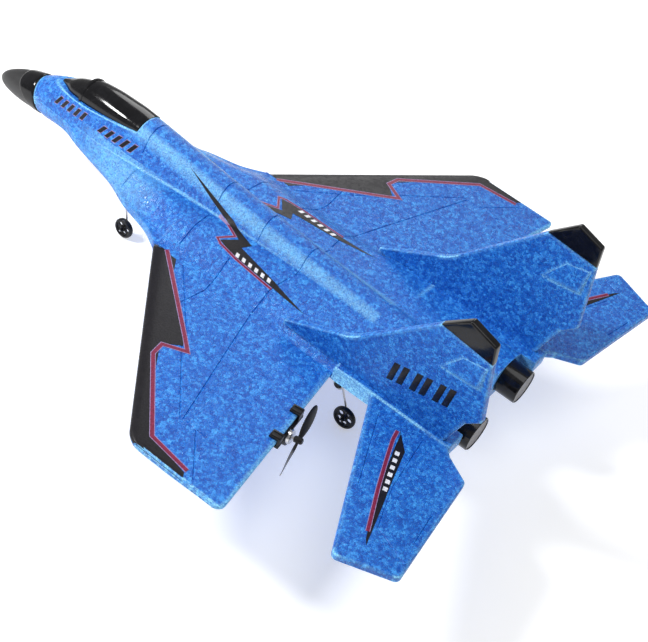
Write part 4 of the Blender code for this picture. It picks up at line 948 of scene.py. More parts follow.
def plate(outline, low, high, edge, steps=4, flip=1):
    """A flat panel whose edges are rounded top and bottom; flip -1 mirrors it in X."""
    bm = bmesh.new()
    loop = [bm.verts.new((flip * x, y, low)) for x, y in outline]
    bottom = bm.faces.new(loop)
    out = bmesh.ops.extrude_face_region(bm, geom=[bottom])
    moved_up = [v for v in out["geom"] if isinstance(v, bmesh.types.BMVert)]
    bmesh.ops.translate(bm, vec=(0, 0, high - low), verts=moved_up)
    bmesh.ops.recalc_face_normals(bm, faces=bm.faces)
    rims = [e for e in bm.edges if abs(e.verts[0].co.z - e.verts[1].co.z) < 1e-5]
    bmesh.ops.bevel(bm, geom=rims, offset=edge, segments=steps, profile=0.5, affect="EDGES",
                    clamp_overlap=True)
    bmesh.ops.recalc_face_normals(bm, faces=bm.faces)
    return bm


def boom_side(y):
    return fair(upper_stations, y)[0]


tail_rear = boom_end - 0.5
tail_corners = [(boom_side(83.0) - 0.3, 83.0), (131.6, 123.7), (120.4, 151.2), (55.9, 142.9),
                (boom_side(tail_rear) + 3.2, tail_rear + 3.4), (boom_side(tail_rear) - 0.3, tail_rear)]
tail_lines = [[(52.5, 92.4), (93.3, 110.1)], [(52.0, 116.0), (83.5, 121.6), (105.9, 129.5), (113.0, 148.0)],
              [(83.4, 142.4), (100.8, 145.2)], [(120.0, 121.0), (117.0, 130.0)]]
tail_mark = [(53.4, 104.7), (62.9, 114.0), (80.0, 119.2), (96.0, 124.6), (117.4, 131.4), (114.4, 129.2),
             (95.5, 120.3), (82.4, 115.5), (67.1, 110.2), (55.9, 106.8)]
tail_mark_edge = [(55.2, 104.6), (60.6, 105.9), (69.4, 109.3), (88.4, 117.2), (111.0, 127.6)]
for word, side in (("left", 1), ("right", -1)):
    outline = rounded(tail_corners, [0, 3, 3, 3, 0, 0])
    tail = finer(mesh_of(plate(outline, 1.8, 5.6, 0.8, flip=side), "tail"))
    found = bend_highlights(tail)
    skins = tree_of(tail)
    tail = carve(tail, [groove_tool(skins, [(side * x, y) for x, y in line]) for line in tail_lines])
    tail = mark_edges(finer(tail), found)
    piece(f"{word}_tailplane_panel", tail, blue_foam, stands_for=(f"{word}_tailplane",))
    black, crimson, pale, white = (bmesh.new() for _ in range(4))
    film(black, tail_mark, skins, 0.09, side=side)
    film(pale, strip(tail_mark_edge, 2.1), skins, 0.11, side=side)
    film(crimson, strip(tail_mark_edge, 1.5), skins, 0.14, side=side)
    for k in range(6):
        x, y = 65.6 + 4.1 * k, 111.6 + 1.55 * k
        film(white, [(x, y - 0.9), (x + 2.2, y - 0.1), (x + 1.6, y + 1.9), (x - 0.6, y + 1.1)], skins, 0.13,
             side=side)
    stick(f"{word}_tail_film", black=black, crimson=crimson, pale=pale, white=white)

# ---------------------------------------------------------------- fins
# Twin upright foam fins, tabbed into the booms and leaning out a few degrees.  A glossy black cap is
# glued over each tip, and a wedge-shaped fairing is moulded on both faces under the cap.
fin_cant, fin_toe, fin_root = radians(4.6), radians(1.4), Vector((39.9, 27.5, 5.8))
cap_seam = ((74.3, 61.8), (102.1, 59.4))
fin_corners = [(0.0, -2.1), (0.4, 0.9), (35.8, 19.3), *cap_seam, (107.9, 25.3), (101.1, 18.5),
               (95.5, 1.2), (94.0, -2.1)]
wedge = [(78.8, 39.4), (100.8, 42.6), (101.2, 56.0), (89.0, 53.6)]
wedge_slope = ((3.2, 1.0), (-0.6, 0.9), (-0.6, -0.9), (0.6, -0.9))
wedge_height = (1.9, 2.75, 2.15, 1.9)


def wear(name, amount):
    """A group: fine handling marks, as a mask, a roughness and a height."""
    group, given, result = new_group(name, (("Mask", "NodeSocketFloat"), ("Roughness", "NodeSocketFloat"),
                                            ("Height", "NodeSocketFloat")),
                                     Scale=1.0, Smooth=0.2, Rough=0.4)
    tree = group
    where = wired(tree, "ShaderNodeTexCoord").outputs["Object"]
    sized = wired(tree, "ShaderNodeVectorMath", {0: where, "Scale": given.outputs["Scale"]},
                  operation="SCALE").outputs[0]
    smear = wired(tree, "ShaderNodeTexNoise", {"Vector": sized, "Scale": 150.0, "Detail": 4.0,
                                              "Distortion": 1.2}).outputs[0]
    scratched = wired(tree, "ShaderNodeMapping", {"Vector": sized, "Scale": (1.0, 0.05, 0.6),
                                                  "Rotation": (0.4, 0.2, 0.5)}).outputs[0]
    scratch, grain = noise(tree, scratched, 4200.0, 2.0), noise(tree, sized, 3600.0, 2.0)
    mask, lines = ranged(tree, smear, 0.42, 0.72), ranged(tree, scratch, 0.62, 0.7)
    both = figured(tree, "MULTIPLY", figured(tree, "MAXIMUM", mask, lines), amount)
    tree.links.new(both, result.inputs["Mask"])
    rough = ranged(tree, both, 0.0, 1.0, given.outputs["Smooth"], given.outputs["Rough"])
    tree.links.new(rough, result.inputs["Roughness"])
    tree.links.new(figured(tree, "MULTIPLY_ADD", lines, -0.35, grain), result.inputs["Height"])
    return group


wear_group = wear("handling_wear", 0.8)


def plastic(name, color, worn, smooth_value, rough_value, strength=0.08, **settings):
    """Moulded plastic, rubber or metal: colour shifts and roughness where it has been handled."""
    mat, tree, shader = material(name, **settings)
    marks = use_group(tree, wear_group, Smooth=smooth_value, Rough=rough_value)
    tint = ramp(tree, marks.outputs["Mask"], [(0.0, color), (1.0, worn)])
    tree.links.new(tint, shader.inputs["Base Color"])
    tree.links.new(marks.outputs["Roughness"], shader.inputs["Roughness"])
    bump(tree, shader, marks.outputs["Height"], strength, 0.00004)
    return mat


gloss_black = plastic("gloss_black_plastic", (0.004, 0.004, 0.005), (0.010, 0.010, 0.012), 0.08, 0.26, 0.05,
                      Specular_IOR_Level=0.3)
for word, side in (("left", 1), ("right", -1)):
    aft = Vector((side * sin(fin_toe), cos(fin_toe), 0)).normalized()
    rise = Vector((side * sin(fin_cant), 0, cos(fin_cant)))
    rise = (rise - aft * rise.dot(aft)).normalized()
    turn = Matrix((aft, rise, aft.cross(rise))).transposed().to_4x4()
    on_fin = stance @ Matrix.Translation((side * fin_root.x, fin_root.y, fin_root.z)) @ turn
    outline = rounded(fin_corners, [0, 1, 30, 0, 0, 1, 1, 0, 0])
    fin = mesh_of(plate(outline, -1.8, 1.8, 0.75), "fin")
    fairing = []
    for sign in (1, -1):
        bm = bmesh.new()
        base = [bm.verts.new((x, y, sign * 1.6)) for x, y in wedge]
        tops = [bm.verts.new((x + dx * 0.9, y + dy * 0.9, sign * tall))
                for (x, y), (dx, dy), tall in zip(wedge, wedge_slope, wedge_height)]
        bm.faces.new(base)
        bm.faces.new(tops)
        for i in range(4):
            j = (i + 1) % 4
            bm.faces.new((base[i], base[j], tops[j], tops[i]))
        bmesh.ops.recalc_face_normals(bm, faces=bm.faces)
        bmesh.ops.bevel(bm, geom=[e for e in bm.edges if e.verts[0] in tops or e.verts[1] in tops],
                        offset=0.25, segments=3, profile=0.5, affect="EDGES")
        fairing.append(bm)
    fin = finer(carve(fin, fairing, "UNION"))
    fin = mark_edges(fin, bend_highlights(fin))
    piece(f"{word}_fin_panel", fin, blue_foam, stands_for=(f"{word}_fin",), place=on_fin)

    front, rear = (Vector(p) for p in cap_seam)
    seam = (rear - front).normalized()
    lift = Vector((-seam.y, seam.x)) * 0.12
    outline = rounded([tuple(front + lift), (86.5, 74.0), (100.7, 69.7), tuple(rear + lift)],
                      [0, 1.5, 1.5, 0])
    cap = plate(outline, -2.1, 2.1, 0.9, 3)
    piece(f"{word}_fin_tip_cap", cap, gloss_black, stands_for=(f"{word}_fin_cap",),
          place=on_fin)

    outer = side * 1.8
    marks = bmesh.new()
    for k in range(6):
        x = 58.8 + 5.0 * k + 1.9 * (k // 2)
        base_y = 11.8 + 0.28 * (x - 58.8)
        shape = [(x, base_y), (x + 3.2, base_y + 0.9), (x + 4.6, base_y + 13.2), (x + 1.4, base_y + 12.3)]
        low, high = sorted((outer - side * 0.05, outer + side * 0.09))
        bar = plate(shape, low, high, 0.03, 1)
        bar_mesh = mesh_of(bar, "bar")
        marks.from_mesh(bar_mesh)
        bpy.data.meshes.remove(bar_mesh)
    piece(f"{word}_fin_marks", marks, print_black, place=on_fin, sharp=60)

# ---------------------------------------------------------------- nose cone
# A hollow cone of black plastic, pushed over the raked front of the foam and glued.  It droops, and a
# slightly raised band runs round its open end.
black_plastic = plastic("black_plastic", (0.006, 0.006, 0.0065), (0.016, 0.016, 0.018), 0.3, 0.5, 0.12,
                        Specular_IOR_Level=0.26)
satin_black = plastic("satin_black_plastic", (0.014, 0.014, 0.015), (0.03, 0.03, 0.032), 0.42, 0.6, 0.2,
                      Specular_IOR_Level=0.45)
angles = [2 * pi * k / 72 for k in range(72)]


def nose_ring(share, r):
    y = nose_y - 0.3 - 31.8 * share
    z = -4.0 - 6.6 * share
    tilt_back = 0.37 * (1 - share)
    return [(r * cos(a), y - tilt_back * r * sin(a), z + r * sin(a)) for a in angles]


def band_share(a):
    """How far forward the glossy band reaches, by angle: far on top, little below."""
    return 0.13 + 0.27 * smooth(0.5 + 0.62 * sin(a))


cone_rings, inner_rings = [], []
for k in range(41):
    t = (k / 40) ** 0.8
    share = 0.9996 * t
    cone_rings.append(nose_ring(share, 9.8 * sqrt(1 - share ** 1.75)))
for k in reversed(range(31)):
    share = 0.93 * k / 30
    inner_rings.append(nose_ring(share, max(0.1, 9.8 * sqrt(1 - share ** 1.75) - 1.2)))
piece("nose_cone_shell", skin(inner_rings + cone_rings), satin_black, stands_for=("nose_cone",),
      sharp=25)
outer, inner = [], []
for k in range(25):
    ring_out, ring_in = [], []
    for n, a in enumerate(angles):
        reach = band_share(a)
        share = 0.012 + (reach - 0.012) * k / 24
        end = min(1.0, (24 - k) / 2.5) ** 0.5 * min(1.0, 0.35 + k / 2)
        r = 9.8 * sqrt(1 - share ** 1.75)
        ring_out.append(nose_ring(share, r + 0.08 + 0.34 * end)[n])
        ring_in.append(nose_ring(share, r - 0.1)[n])
    outer.append(ring_out)
    inner.append(ring_in)
nose_band = skin(inner[::-1] + outer + inner[-1:], capped=False)
bmesh.ops.remove_doubles(nose_band, verts=nose_band.verts, dist=1e-4)
bmesh.ops.recalc_face_normals(nose_band, faces=nose_band.faces)
piece("nose_band", nose_band, gloss_black, sharp=25)

# ---------------------------------------------------------------- canopy
# One vacuum-formed shell of glossy black plastic on a seat in the foam: a short windscreen, a raised
# frame arch, and the long bubble behind it.
canopy_stations = [(-156.0, 1.2, 13.0), (-152.0, 3.2, 15.2), (-146.5, 6.2, 18.6), (-138.2, 8.3, 22.0),
                   (-137.7, 9.35, 23.9), (-136.3, 9.55, 24.2), (-135.8, 9.1, 23.6), (-131.0, 9.5, 24.4),
                   (-121.0, 10.0, 25.0), (-109.0, 9.7, 24.9), (-98.3, 8.7, 24.0)]


def canopy_ring(y):
    half, top = fair(canopy_stations, y, (-138.2, -137.7, -136.3, -135.8))
    base = canopy_base(y) - 0.25
    rise = top - base
    ring = []
    for k in range(41):
        a = pi * k / 40
        ring.append((half * cos(a), y, base + max(rise, 0.05) * sin(a) ** 0.9))
    return ring


ys = [-156.0 + 0.6 * k for k in range(31)] + [-138.4, -138.2, -138.05, -137.85, -137.7, -137.2,
                                                     -136.7, -136.3, -136.15, -135.95, -135.8, -135.5]
ys += [-134.8 + 1.02 * k for k in range(36)]
ys = sorted({round(y, 3) for y in ys if y <= -98.3} | {-98.3})
shell = skin([canopy_ring(y) for y in ys])
piece("canopy_bubble", shell, gloss_black, stands_for=("canopy",), sharp=38)

# ---------------------------------------------------------------- jet nozzles
# Two turned-looking cups of black plastic are glued into round bores at the rear.  A flat disc is pressed in
# against a ledge just inside each lip; its grey colour is painted reflection of the pale floor, which a
# glossy black end face mirrors.
# grey plastic; on the nozzle plates this grey is painted reflection of the pale floor in a flat black end
# face
grey_plastic = plastic("grey_plastic", (0.15, 0.145, 0.155), (0.21, 0.205, 0.215), 0.42, 0.62, 0.15)
nozzle_profile = [(8.1, 11.25), (8.25, 11.5), (8.6, 11.5), (8.93, 11.2), (9.0, 10.8), (9.0, 1.2), (9.0, -5.0),
                  (8.1, -5.0), (8.1, 8.3), (6.9, 8.3), (6.9, 9.5), (8.1, 9.5)]
disc_profile = [(0, 9.8), (7.9, 9.8), (8.0, 9.9), (8.0, 10.9), (7.8, 11.1), (7.3, 11.15), (6.9, 11.0),
                (0, 10.95)]
for word, side in (("left", 1), ("right", -1)):
    seat = stance @ Matrix.Translation((side * nozzle_x, body_end, nozzle_z))
    piece(f"{word}_nozzle_cup", turned(nozzle_profile, 96), gloss_black, stands_for=(f"{word}_nozzle",),
          place=seat)
    # the plate's grey colour is painted reflection of the floor
    piece(f"{word}_nozzle_plate", turned(disc_profile, 96, closed=False), grey_plastic,
          stands_for=(f"{word}_nozzle_disc",), place=seat)

# ---------------------------------------------------------------- motor pods
# A small coreless motor sits in a black plastic clip on each trailing edge, tail-up by about nine
# degrees, and drives a two-blade pusher propeller pressed on its steel shaft.
edge_slope = atan2(15.8, 100.0)
pod_x, pod_tilt, motor_drop = 86.0, radians(8.7), 2.2 + 3.6 + 0.5
prop_rest, prop_r = radians(152.0), 18.2
steel = plastic("bright_steel_wire", (0.5, 0.5, 0.51), (0.28, 0.27, 0.26), 0.22, 0.45, 0.1, Metallic=1.0)
can_metal = plastic("nickel_motor_can", (0.62, 0.62, 0.64), (0.45, 0.45, 0.47), 0.18, 0.38, 0.06,
                    Metallic=1.0)
rubber = plastic("black_rubber", (0.012, 0.012, 0.012), (0.035, 0.034, 0.033), 0.6, 0.8, 0.3,
                 Specular_IOR_Level=0.3)


def soft_block(low, high, edge=0.2, segments=2):
    bm = block(low, high)
    bmesh.ops.bevel(bm, geom=bm.edges[:], offset=edge, segments=segments, profile=0.5, affect="EDGES")
    return bm


def blade(hand, middle):
    """A twisted blade along +Z about the Y axis, with a round tip and a thin trailing edge."""
    table = [(0.05, 2.1, 50), (0.12, 2.5, 46), (0.2, 3.3, 42), (0.32, 4.4, 35), (0.45, 5.3, 29),
             (0.58, 5.8, 25), (0.7, 5.9, 21), (0.8, 5.6, 18), (0.88, 4.9, 16), (0.94, 3.8, 15),
             (0.975, 2.6, 14), (0.995, 1.1, 14)]
    rings = []
    for share, chord, pitch in table:
        half, thick = chord / 2, 0.75 - 0.45 * share
        outline = []
        for k in range(16):
            a = 2 * pi * k / 16
            u = -half * cos(a)
            v = 0.5 * thick * sin(a) * (1.0 - 0.35 * cos(a)) + 0.10 * chord * (1 - (u / half) ** 2) * 0.35
            outline.append((u, v))
        c, s = cos(radians(pitch)), -sin(radians(pitch)) * hand
        rings.append([(u * c - v * s, middle + u * s + v * c, prop_r * share) for u, v in outline])
    return skin(rings)


for word, side in (("left", 1), ("right", -1)):
    edge_y = 61.0 + 15.8 * (pod_x - 45.0) / 100.0
    pod = Matrix.Translation((side * pod_x, edge_y, 0)) @ Matrix.Rotation(side * edge_slope, 4, "Z")
    axis = pod @ Matrix.Translation((0, 0, -motor_drop)) @ Matrix.Rotation(pod_tilt, 4, "X")
    to_pod = pod.inverted() @ axis
    rail, under = (19.0 + 4.8) / 2 + 0.2, -(2.2 + 0.55)
    clip = mesh_of(soft_block((-rail, -3.6, under - 1.3), (rail, 1.6, under)), "clip")
    parts = []
    for s in (-1, 1):
        low, high = s * 9.5 - 2.4, s * 9.5 + 2.4
        parts.append(soft_block((low, -4.2, 0.3), (high, 1.4, 1.4), 0.25))
        parts.append(soft_block((low, 0.3, under - 0.5), (high, 1.4, 1.3), 0.25))
        for rib in (-1.3, 1.3):
            at = s * 9.5 + rib
            parts.append(soft_block((at - 0.35, -3.4, 1.2), (at + 0.35, 1.2, 1.75), 0.12))
    ring_profile = [(3.4, -0.4), (4.55, -0.4), (4.7, -0.25), (4.7, 1.35), (4.55, 1.5), (3.4, 1.5)]
    parts.append(moved(turned(ring_profile, 64), to_pod))
    clip = carve(clip, parts, "UNION")
    clip = carve(clip, [moved(capped_rod(3.72, -9, 9, steps=64), to_pod)])
    piece(f"{word}_motor_clip", clip, black_plastic, stands_for=(f"{word}_motor_mount",),
          place=stance @ pod)

    on_axis = stance @ axis
    can_profile = [(0.65, 3.2), (1.5, 3.2), (1.6, 3.05), (3.2, 3.05), (3.45, 2.95), (3.6, 2.7), (3.6, -8.6),
                   (3.52, -8.75), (3.52, -9.2), (3.6, -9.35), (3.6, -10.3), (3.4, -10.65), (3.0, -10.8),
                   (0.65, -10.8), (0.65, -8.9)]
    piece(f"{word}_motor_body", turned(can_profile, 72), can_metal, stands_for=(f"{word}_motor_can",),
          place=on_axis)
    piece(f"{word}_motor_axle", capped_rod(0.5, -8.4, 7.3, steps=24), steel, body=f"{word}_prop",
          stands_for=(f"{word}_motor_shaft",), place=on_axis)
    hub = [(0.62, 4.2), (1.35, 4.2), (1.6, 4.4), (1.6, 7.6), (1.45, 8.1), (1.1, 8.35), (0, 8.4), (0, 7.6),
           (0.62, 7.6)]
    spun = on_axis @ Matrix.Rotation(side * (pi / 2 - prop_rest), 4, "Y")
    prop = carve(mesh_of(turned(hub, 48), "hub"),
                 [moved(blade(side, 6.3), Matrix.Rotation(k * pi, 4, "Y")) for k in range(2)], "UNION")
    prop = carve(prop, [capped_rod(0.62, 2.2, 7.6, steps=24)])
    piece(f"{word}_two_blade_prop", prop, black_plastic, body=f"{word}_prop",
          stands_for=(f"{word}_propeller",), place=spun)

# ---------------------------------------------------------------- landing gear
# Steel wire legs, one straight at the nose and two with a spring coil, plug into flanged bushes in
# the foam.  One-piece black wheels with round windows turn on them, held by small push-on collars.
wire_tree = bpy.data.node_groups.new("wire_along_path", "GeometryNodeTree")
for label, kind in (("Path", "NodeSocketGeometry"), ("Radius", "NodeSocketFloat"),
                    ("Sides", "NodeSocketInt"), ("Finish", "NodeSocketMaterial")):
    wire_tree.interface.new_socket(label, in_out="INPUT", socket_type=kind)
wire_tree.interface.new_socket("Wire", in_out="OUTPUT", socket_type="NodeSocketGeometry")
given, result = wire_tree.nodes.new("NodeGroupInput"), wire_tree.nodes.new("NodeGroupOutput")
line = wired(wire_tree, "GeometryNodeMeshToCurve", {"Mesh": given.outputs["Path"]}).outputs[0]
round_line = wired(wire_tree, "GeometryNodeCurvePrimitiveCircle",
                   {"Resolution": given.outputs["Sides"], "Radius": given.outputs["Radius"]}).outputs[0]
swept = wired(wire_tree, "GeometryNodeCurveToMesh", {"Curve": line, "Profile Curve": round_line,
                                                     "Fill Caps": True}).outputs[0]
real = wired(wire_tree, "GeometryNodeRealizeInstances", {0: swept}).outputs[0]
coated = wired(wire_tree, "GeometryNodeSetMaterial", {"Geometry": real,
                                                     "Material": given.outputs["Finish"]}).outputs[0]
wire_tree.links.new(coated, result.inputs[0])


def grown(tree, start, **values):
    """The plain mesh that a geometry tree makes from a starting mesh and its named inputs."""
    seed = loose(start, "seed")
    grow = seed.modifiers.new("grow", "NODES")
    grow.node_group = tree
    for item in tree.interface.items_tree:
        if item.in_out == "INPUT" and item.name in values:
            grow[item.identifier] = values[item.name]
    bpy.context.view_layer.update()
    made = bpy.data.meshes.new_from_object(seed.evaluated_get(bpy.context.evaluated_depsgraph_get()))
    bpy.data.objects.remove(seed, do_unlink=True)
    return made


def eased_path(points, rounds=2, keep=0.22):
    """A path with its bends rounded by cutting corners; long straight runs stay straight."""
    p = [Vector(q) for q in points]
    for _ in range(rounds):
        out = [p[0]]
        for a, b in zip(p, p[1:]):
            run = (b - a).length
            bite = min(keep * run, 0.35)
            out += [a + (b - a) * (bite / run), b - (b - a) * (bite / run)]
        p = out + [p[-1]]
    return p


def path_mesh(points):
    bm = bmesh.new()
    verts = [bm.verts.new(p) for p in points]
    for a, b in zip(verts, verts[1:]):
        bm.edges.new((a, b))
    return mesh_of(bm, "path")


def leg(name, points, stands_for):
    made = grown(wire_tree, path_mesh(eased_path(points)), Radius=0.5, Sides=18, Finish=steel)
    solid = bmesh.new()
    solid.from_mesh(made)
    bmesh.ops.remove_doubles(solid, verts=solid.verts, dist=1e-4)
    bmesh.ops.recalc_face_normals(solid, faces=solid.faces)
    piece(name, solid, steel, stands_for=(stands_for,), sharp=50)


def wheel(name, r, place, body, stands_for):
    """Tyre, rim, web and hub in one, with five round windows through the web."""
    w, hub, rim, web = 1.6, 1.7, r - 1.75, 0.5
    half = [(0.62, w), (1.3, w), (1.5, w - 0.12), (1.6, w - 0.5), (1.75, 0.62), (1.95, web), (rim - 0.3, web),
            (rim, 0.62), (rim + 0.12, 1.0), (rim + 0.25, 1.28), (rim + 0.5, 1.36), (rim + 0.8, 1.3),
            (rim + 1.1, 1.36), (r - 0.62, 1.28), (r - 0.3, 1.1), (r - 0.1, 0.75), (r, 0.4), (r, 0.15)]
    profile = half + [(radius, -x) for radius, x in reversed(half)]
    made = mesh_of(turned(profile, 80, "X"), name)
    windows = []
    for k in range(5):
        a = 2 * pi * k / 5
        middle, hole = (1.65 + rim) / 2, (rim - 1.65) / 2 - 0.1
        windows.append(moved(capped_rod(hole, -2, 2, "X", 24),
                             Matrix.Translation((0, middle * cos(a), middle * sin(a)))))
    made = carve(made, windows)
    piece(name, made, black_plastic, body=body, stands_for=(stands_for,), place=place)


def collar(name, place, low, high, body, stands_for):
    profile = [(0.6, low), (0.95, low), (1.1, low + 0.15), (1.1, high - 0.3), (0.9, high), (0.6, high)]
    piece(name, turned(profile, 40, "X"), black_plastic, body=body, stands_for=(stands_for,),
          place=place)


def bush(name, at, stands_for):
    profile = [(0.64, 7.0), (1.7, 7.0), (1.9, 6.8), (1.9, 0.0), (3.3, 0.0), (3.4, -0.15), (3.4, -0.7),
               (3.1, -1.0), (1.6, -1.0), (1.2, -0.85), (0.64, -0.85)]
    piece(name, turned(profile, 56, "Z"), black_plastic, stands_for=(stands_for,),
          place=stance @ Matrix.Translation(at))


belly_top = keel_z - 0.3
bush("nose_leg_bush", (*nose_leg, belly_top), "nose_gear_socket")
_, axle_y, axle_z = nose_axle
run = [(nose_leg[0], nose_leg[1], belly_top + 6), (nose_leg[0], nose_leg[1], belly_top - 2.5),
       (nose_leg[0], nose_leg[1] + 0.15, belly_top - 3.1), (nose_leg[0], axle_y, axle_z + 1.2)]
run += [(nose_leg[0] + 1.2 * (1 - cos(k * pi / 6)), axle_y, axle_z + 1.2 * (1 - sin(k * pi / 6)))
        for k in range(1, 4)]
leg("nose_leg_wire", run + [(3.6, axle_y, axle_z)], "nose_gear_leg")
at_nose = stance @ Matrix.Translation(nose_axle)
wheel("nose_wheel_disc", 5.8, at_nose, "nose_wheel", "nose_wheel")
collar("nose_collar", at_nose, 1.9, 3.3, body_of(frame["nodes"]["nose_wheel_collar"])[0],
       "nose_wheel_collar")

leg_x = main_axle.x - 1.6 - 1.0
coil_y, coil_z, coil_r = main_axle.y - 10.4, main_axle.z + 13.6, 2.6
aim = atan2(main_axle.z - coil_z, main_axle.y - coil_y)
leave = aim + acos(coil_r / hypot(main_axle.z - coil_z, main_axle.y - coil_y))
coil_turn = (leave - pi) % (2 * pi) + 2 * pi
for word, side in (("left", 1), ("right", -1)):
    socket_top = -13.7
    bush(f"{word}_leg_bush", (side * stem_x, stem_y, socket_top), f"{word}_gear_socket")
    run = [(stem_x, stem_y, socket_top + 6), (stem_x, stem_y, coil_z + coil_r)]
    for k in range(49):
        t = k / 48
        a = pi + coil_turn * t
        run.append((stem_x + (leg_x - stem_x) * t, coil_y + coil_r * cos(a), coil_z + coil_r * sin(a)))
    last, foot = Vector(run[-1]), Vector((leg_x, main_axle.y, main_axle.z))
    way = (foot - last).normalized()
    run += [tuple(foot - way * 1.2), tuple(foot - way * 0.36 + Vector((0.36, 0, 0))),
            (leg_x + 1.2, main_axle.y, main_axle.z), (main_axle.x + 3.6, main_axle.y, main_axle.z)]
    leg(f"{word}_leg_wire", [(side * x, y, z) for x, y, z in run], f"{word}_gear_leg")
    roll = [(0, -1.9), (1.55, -1.9), (1.85, -1.7), (1.85, 1.7), (1.55, 1.9), (0, 1.9)]
    piece(f"{word}_coil_bush", turned(roll, 40, "X", closed=False), rubber,
          stands_for=(f"{word}_shock_bush",),
          place=stance @ Matrix.Translation((side * (stem_x + leg_x) / 2, coil_y, coil_z)))
    at_axle = stance @ Matrix.Translation((side * main_axle.x, main_axle.y, main_axle.z))
    wheel(f"{word}_wheel_disc", 6.3, at_axle, f"{word}_wheel", f"{word}_wheel")
    ends = sorted((side * 1.9, side * 3.3))
    collar(f"{word}_collar", at_axle, *ends, body_of(frame["nodes"][f"{word}_wheel_collar"])[0],
           f"{word}_wheel_collar")

# ---------------------------------------------------------------- battery bay and switch
# Under the nose a foam hatch hinges on a steel pin.  Behind it lie the foil-wrapped cell and the
# receiver board with its soldered parts; a slide switch is let into the keel behind the bay.
hinge_x, hinge_z = -10.5, keel_z + 1.2
at_hinge = stance @ Matrix.Translation((hinge_x, 0, hinge_z))
lid = mesh_of(soft_block((0, -91.7, -1.2), (22.2, -44.3, 0.1), 0.3, 3), "lid")
lid = carve(lid, [block((-3, -93, -5), (2.4, -88, 5)), block((-3, -48, -5), (2.4, -43, 5))])
lid = carve(lid, [capped_rod(1.2, -87.7, -48.3, steps=40),
                  soft_block((18.2 + 0.8, -73, -2.1), (18.2 + 2.8, -63, -0.8), 0.3)], "UNION")
lid = carve(lid, [capped_rod(0.62, -95, -41, steps=24)]
            + [block((18.5, -72 + 2 * k, -2.4), (21.5, -71.3 + 2 * k, -1.8)) for k in range(5)])
lid = finer(lid)
lid = mark_edges(lid, bend_highlights(lid))
piece("bay_lid", lid, blue_foam, body="hatch", stands_for=("battery_hatch",),
      place=at_hinge)
pin_profile = [(0, -95.0), (0.38, -95.0), (0.5, -94.85), (0.5, -41.15), (0.38, -41.0), (0, -41.0)]
piece("lid_pin", turned(pin_profile, 24, closed=False), steel, stands_for=("hatch_hinge_pin",),
      place=at_hinge)

foil, tree, shader = material("foil_cell_wrap", Metallic=0.55)
where = wired(tree, "ShaderNodeTexCoord").outputs["Object"]
crease = wired(tree, "ShaderNodeTexVoronoi", {"Vector": where, "Scale": 330.0},
               feature="DISTANCE_TO_EDGE").outputs[0]
haze = noise(tree, where, 420.0, 4.0)
tree.links.new(ramp(tree, haze, [(0.3, (0.42, 0.44, 0.47)), (0.7, (0.64, 0.66, 0.68))]),
               shader.inputs["Base Color"])
tree.links.new(ramp(tree, haze, [(0.3, grey(0.26)), (0.7, grey(0.48))]), shader.inputs["Roughness"])
bump(tree, shader, crease, 0.25, 0.00015)
cell_floor = keel_z + 1.3 + 0.3 + 0.3
cell_rings = []
for k in range(25):
    y = -76.6 + 30.0 * k / 24
    end = min(1.0, 1.35 * sin(pi * k / 24) ** 0.35) if 0 < k < 24 else 0.0
    half, tall = 8.5, max(3.5 * end, 0.25)
    ring_points = []
    for j in range(32):
        a = 2 * pi * j / 32
        u, v = cos(a), sin(a)
        squared = (abs(u) ** 7 + abs(v) ** 7) ** (-1 / 7)
        ring_points.append((half * u * squared, y, cell_floor + 3.5 + tall * v * squared))
    cell_rings.append(ring_points)
piece("foil_cell", skin(cell_rings), foil, stands_for=("battery",))

board_mat, tree, shader = material("green_circuit_board", Specular_IOR_Level=0.5)
where = wired(tree, "ShaderNodeTexCoord").outputs["Object"]
cells = wired(tree, "ShaderNodeTexVoronoi", {"Vector": where, "Scale": 900.0}, distance="CHEBYCHEV",
              feature="F1").outputs["Distance"]
track = ranged(tree, cells, 0.3, 0.36)
tree.links.new(ramp(tree, track, [(0.0, (0.03, 0.19, 0.08)), (1.0, (0.012, 0.10, 0.04))]),
               shader.inputs["Base Color"])
tree.links.new(ramp(tree, track, [(0.0, grey(0.28)), (1.0, grey(0.42))]), shader.inputs["Roughness"])
bump(tree, shader, track, 0.2, 0.00004)

parts_tree = bpy.data.node_groups.new("soldered_parts", "GeometryNodeTree")
for label, kind, value in (("Board", "NodeSocketGeometry", None), ("Length", "NodeSocketFloat", 1.3),
                           ("Width", "NodeSocketFloat", 0.8), ("Tall", "NodeSocketFloat", 0.6),
                           ("Seed", "NodeSocketInt", 4), ("Finish", "NodeSocketMaterial", None)):
    socket = parts_tree.interface.new_socket(label, in_out="INPUT", socket_type=kind)
    if value is not None:
        socket.default_value = value
parts_tree.interface.new_socket("Parts", in_out="OUTPUT", socket_type="NodeSocketGeometry")
given, result = parts_tree.nodes.new("NodeGroupInput"), parts_tree.nodes.new("NodeGroupOutput")
size = wired(parts_tree, "ShaderNodeCombineXYZ", {0: given.outputs["Length"], 1: given.outputs["Width"],
                                                 2: given.outputs["Tall"]}).outputs[0]
brick = wired(parts_tree, "GeometryNodeMeshCube", {"Size": size}).outputs[0]
spin = wired(parts_tree, "FunctionNodeRandomValue", {"Min": 0, "Max": 1, "Seed": given.outputs["Seed"]},
             data_type="INT")
quarter = figured(parts_tree, "MULTIPLY", spin.outputs[2], pi / 2)
turn_to = wired(parts_tree, "ShaderNodeCombineXYZ", {2: quarter}).outputs[0]
spread = wired(parts_tree, "GeometryNodeInstanceOnPoints", {"Points": given.outputs["Board"],
                                                           "Instance": brick, "Rotation": turn_to}).outputs[0]
real = wired(parts_tree, "GeometryNodeRealizeInstances", {0: spread}).outputs[0]
coated = wired(parts_tree, "GeometryNodeSetMaterial", {"Geometry": real,
                                                      "Material": given.outputs["Finish"]}).outputs[0]
parts_tree.links.new(coated, result.inputs[0])

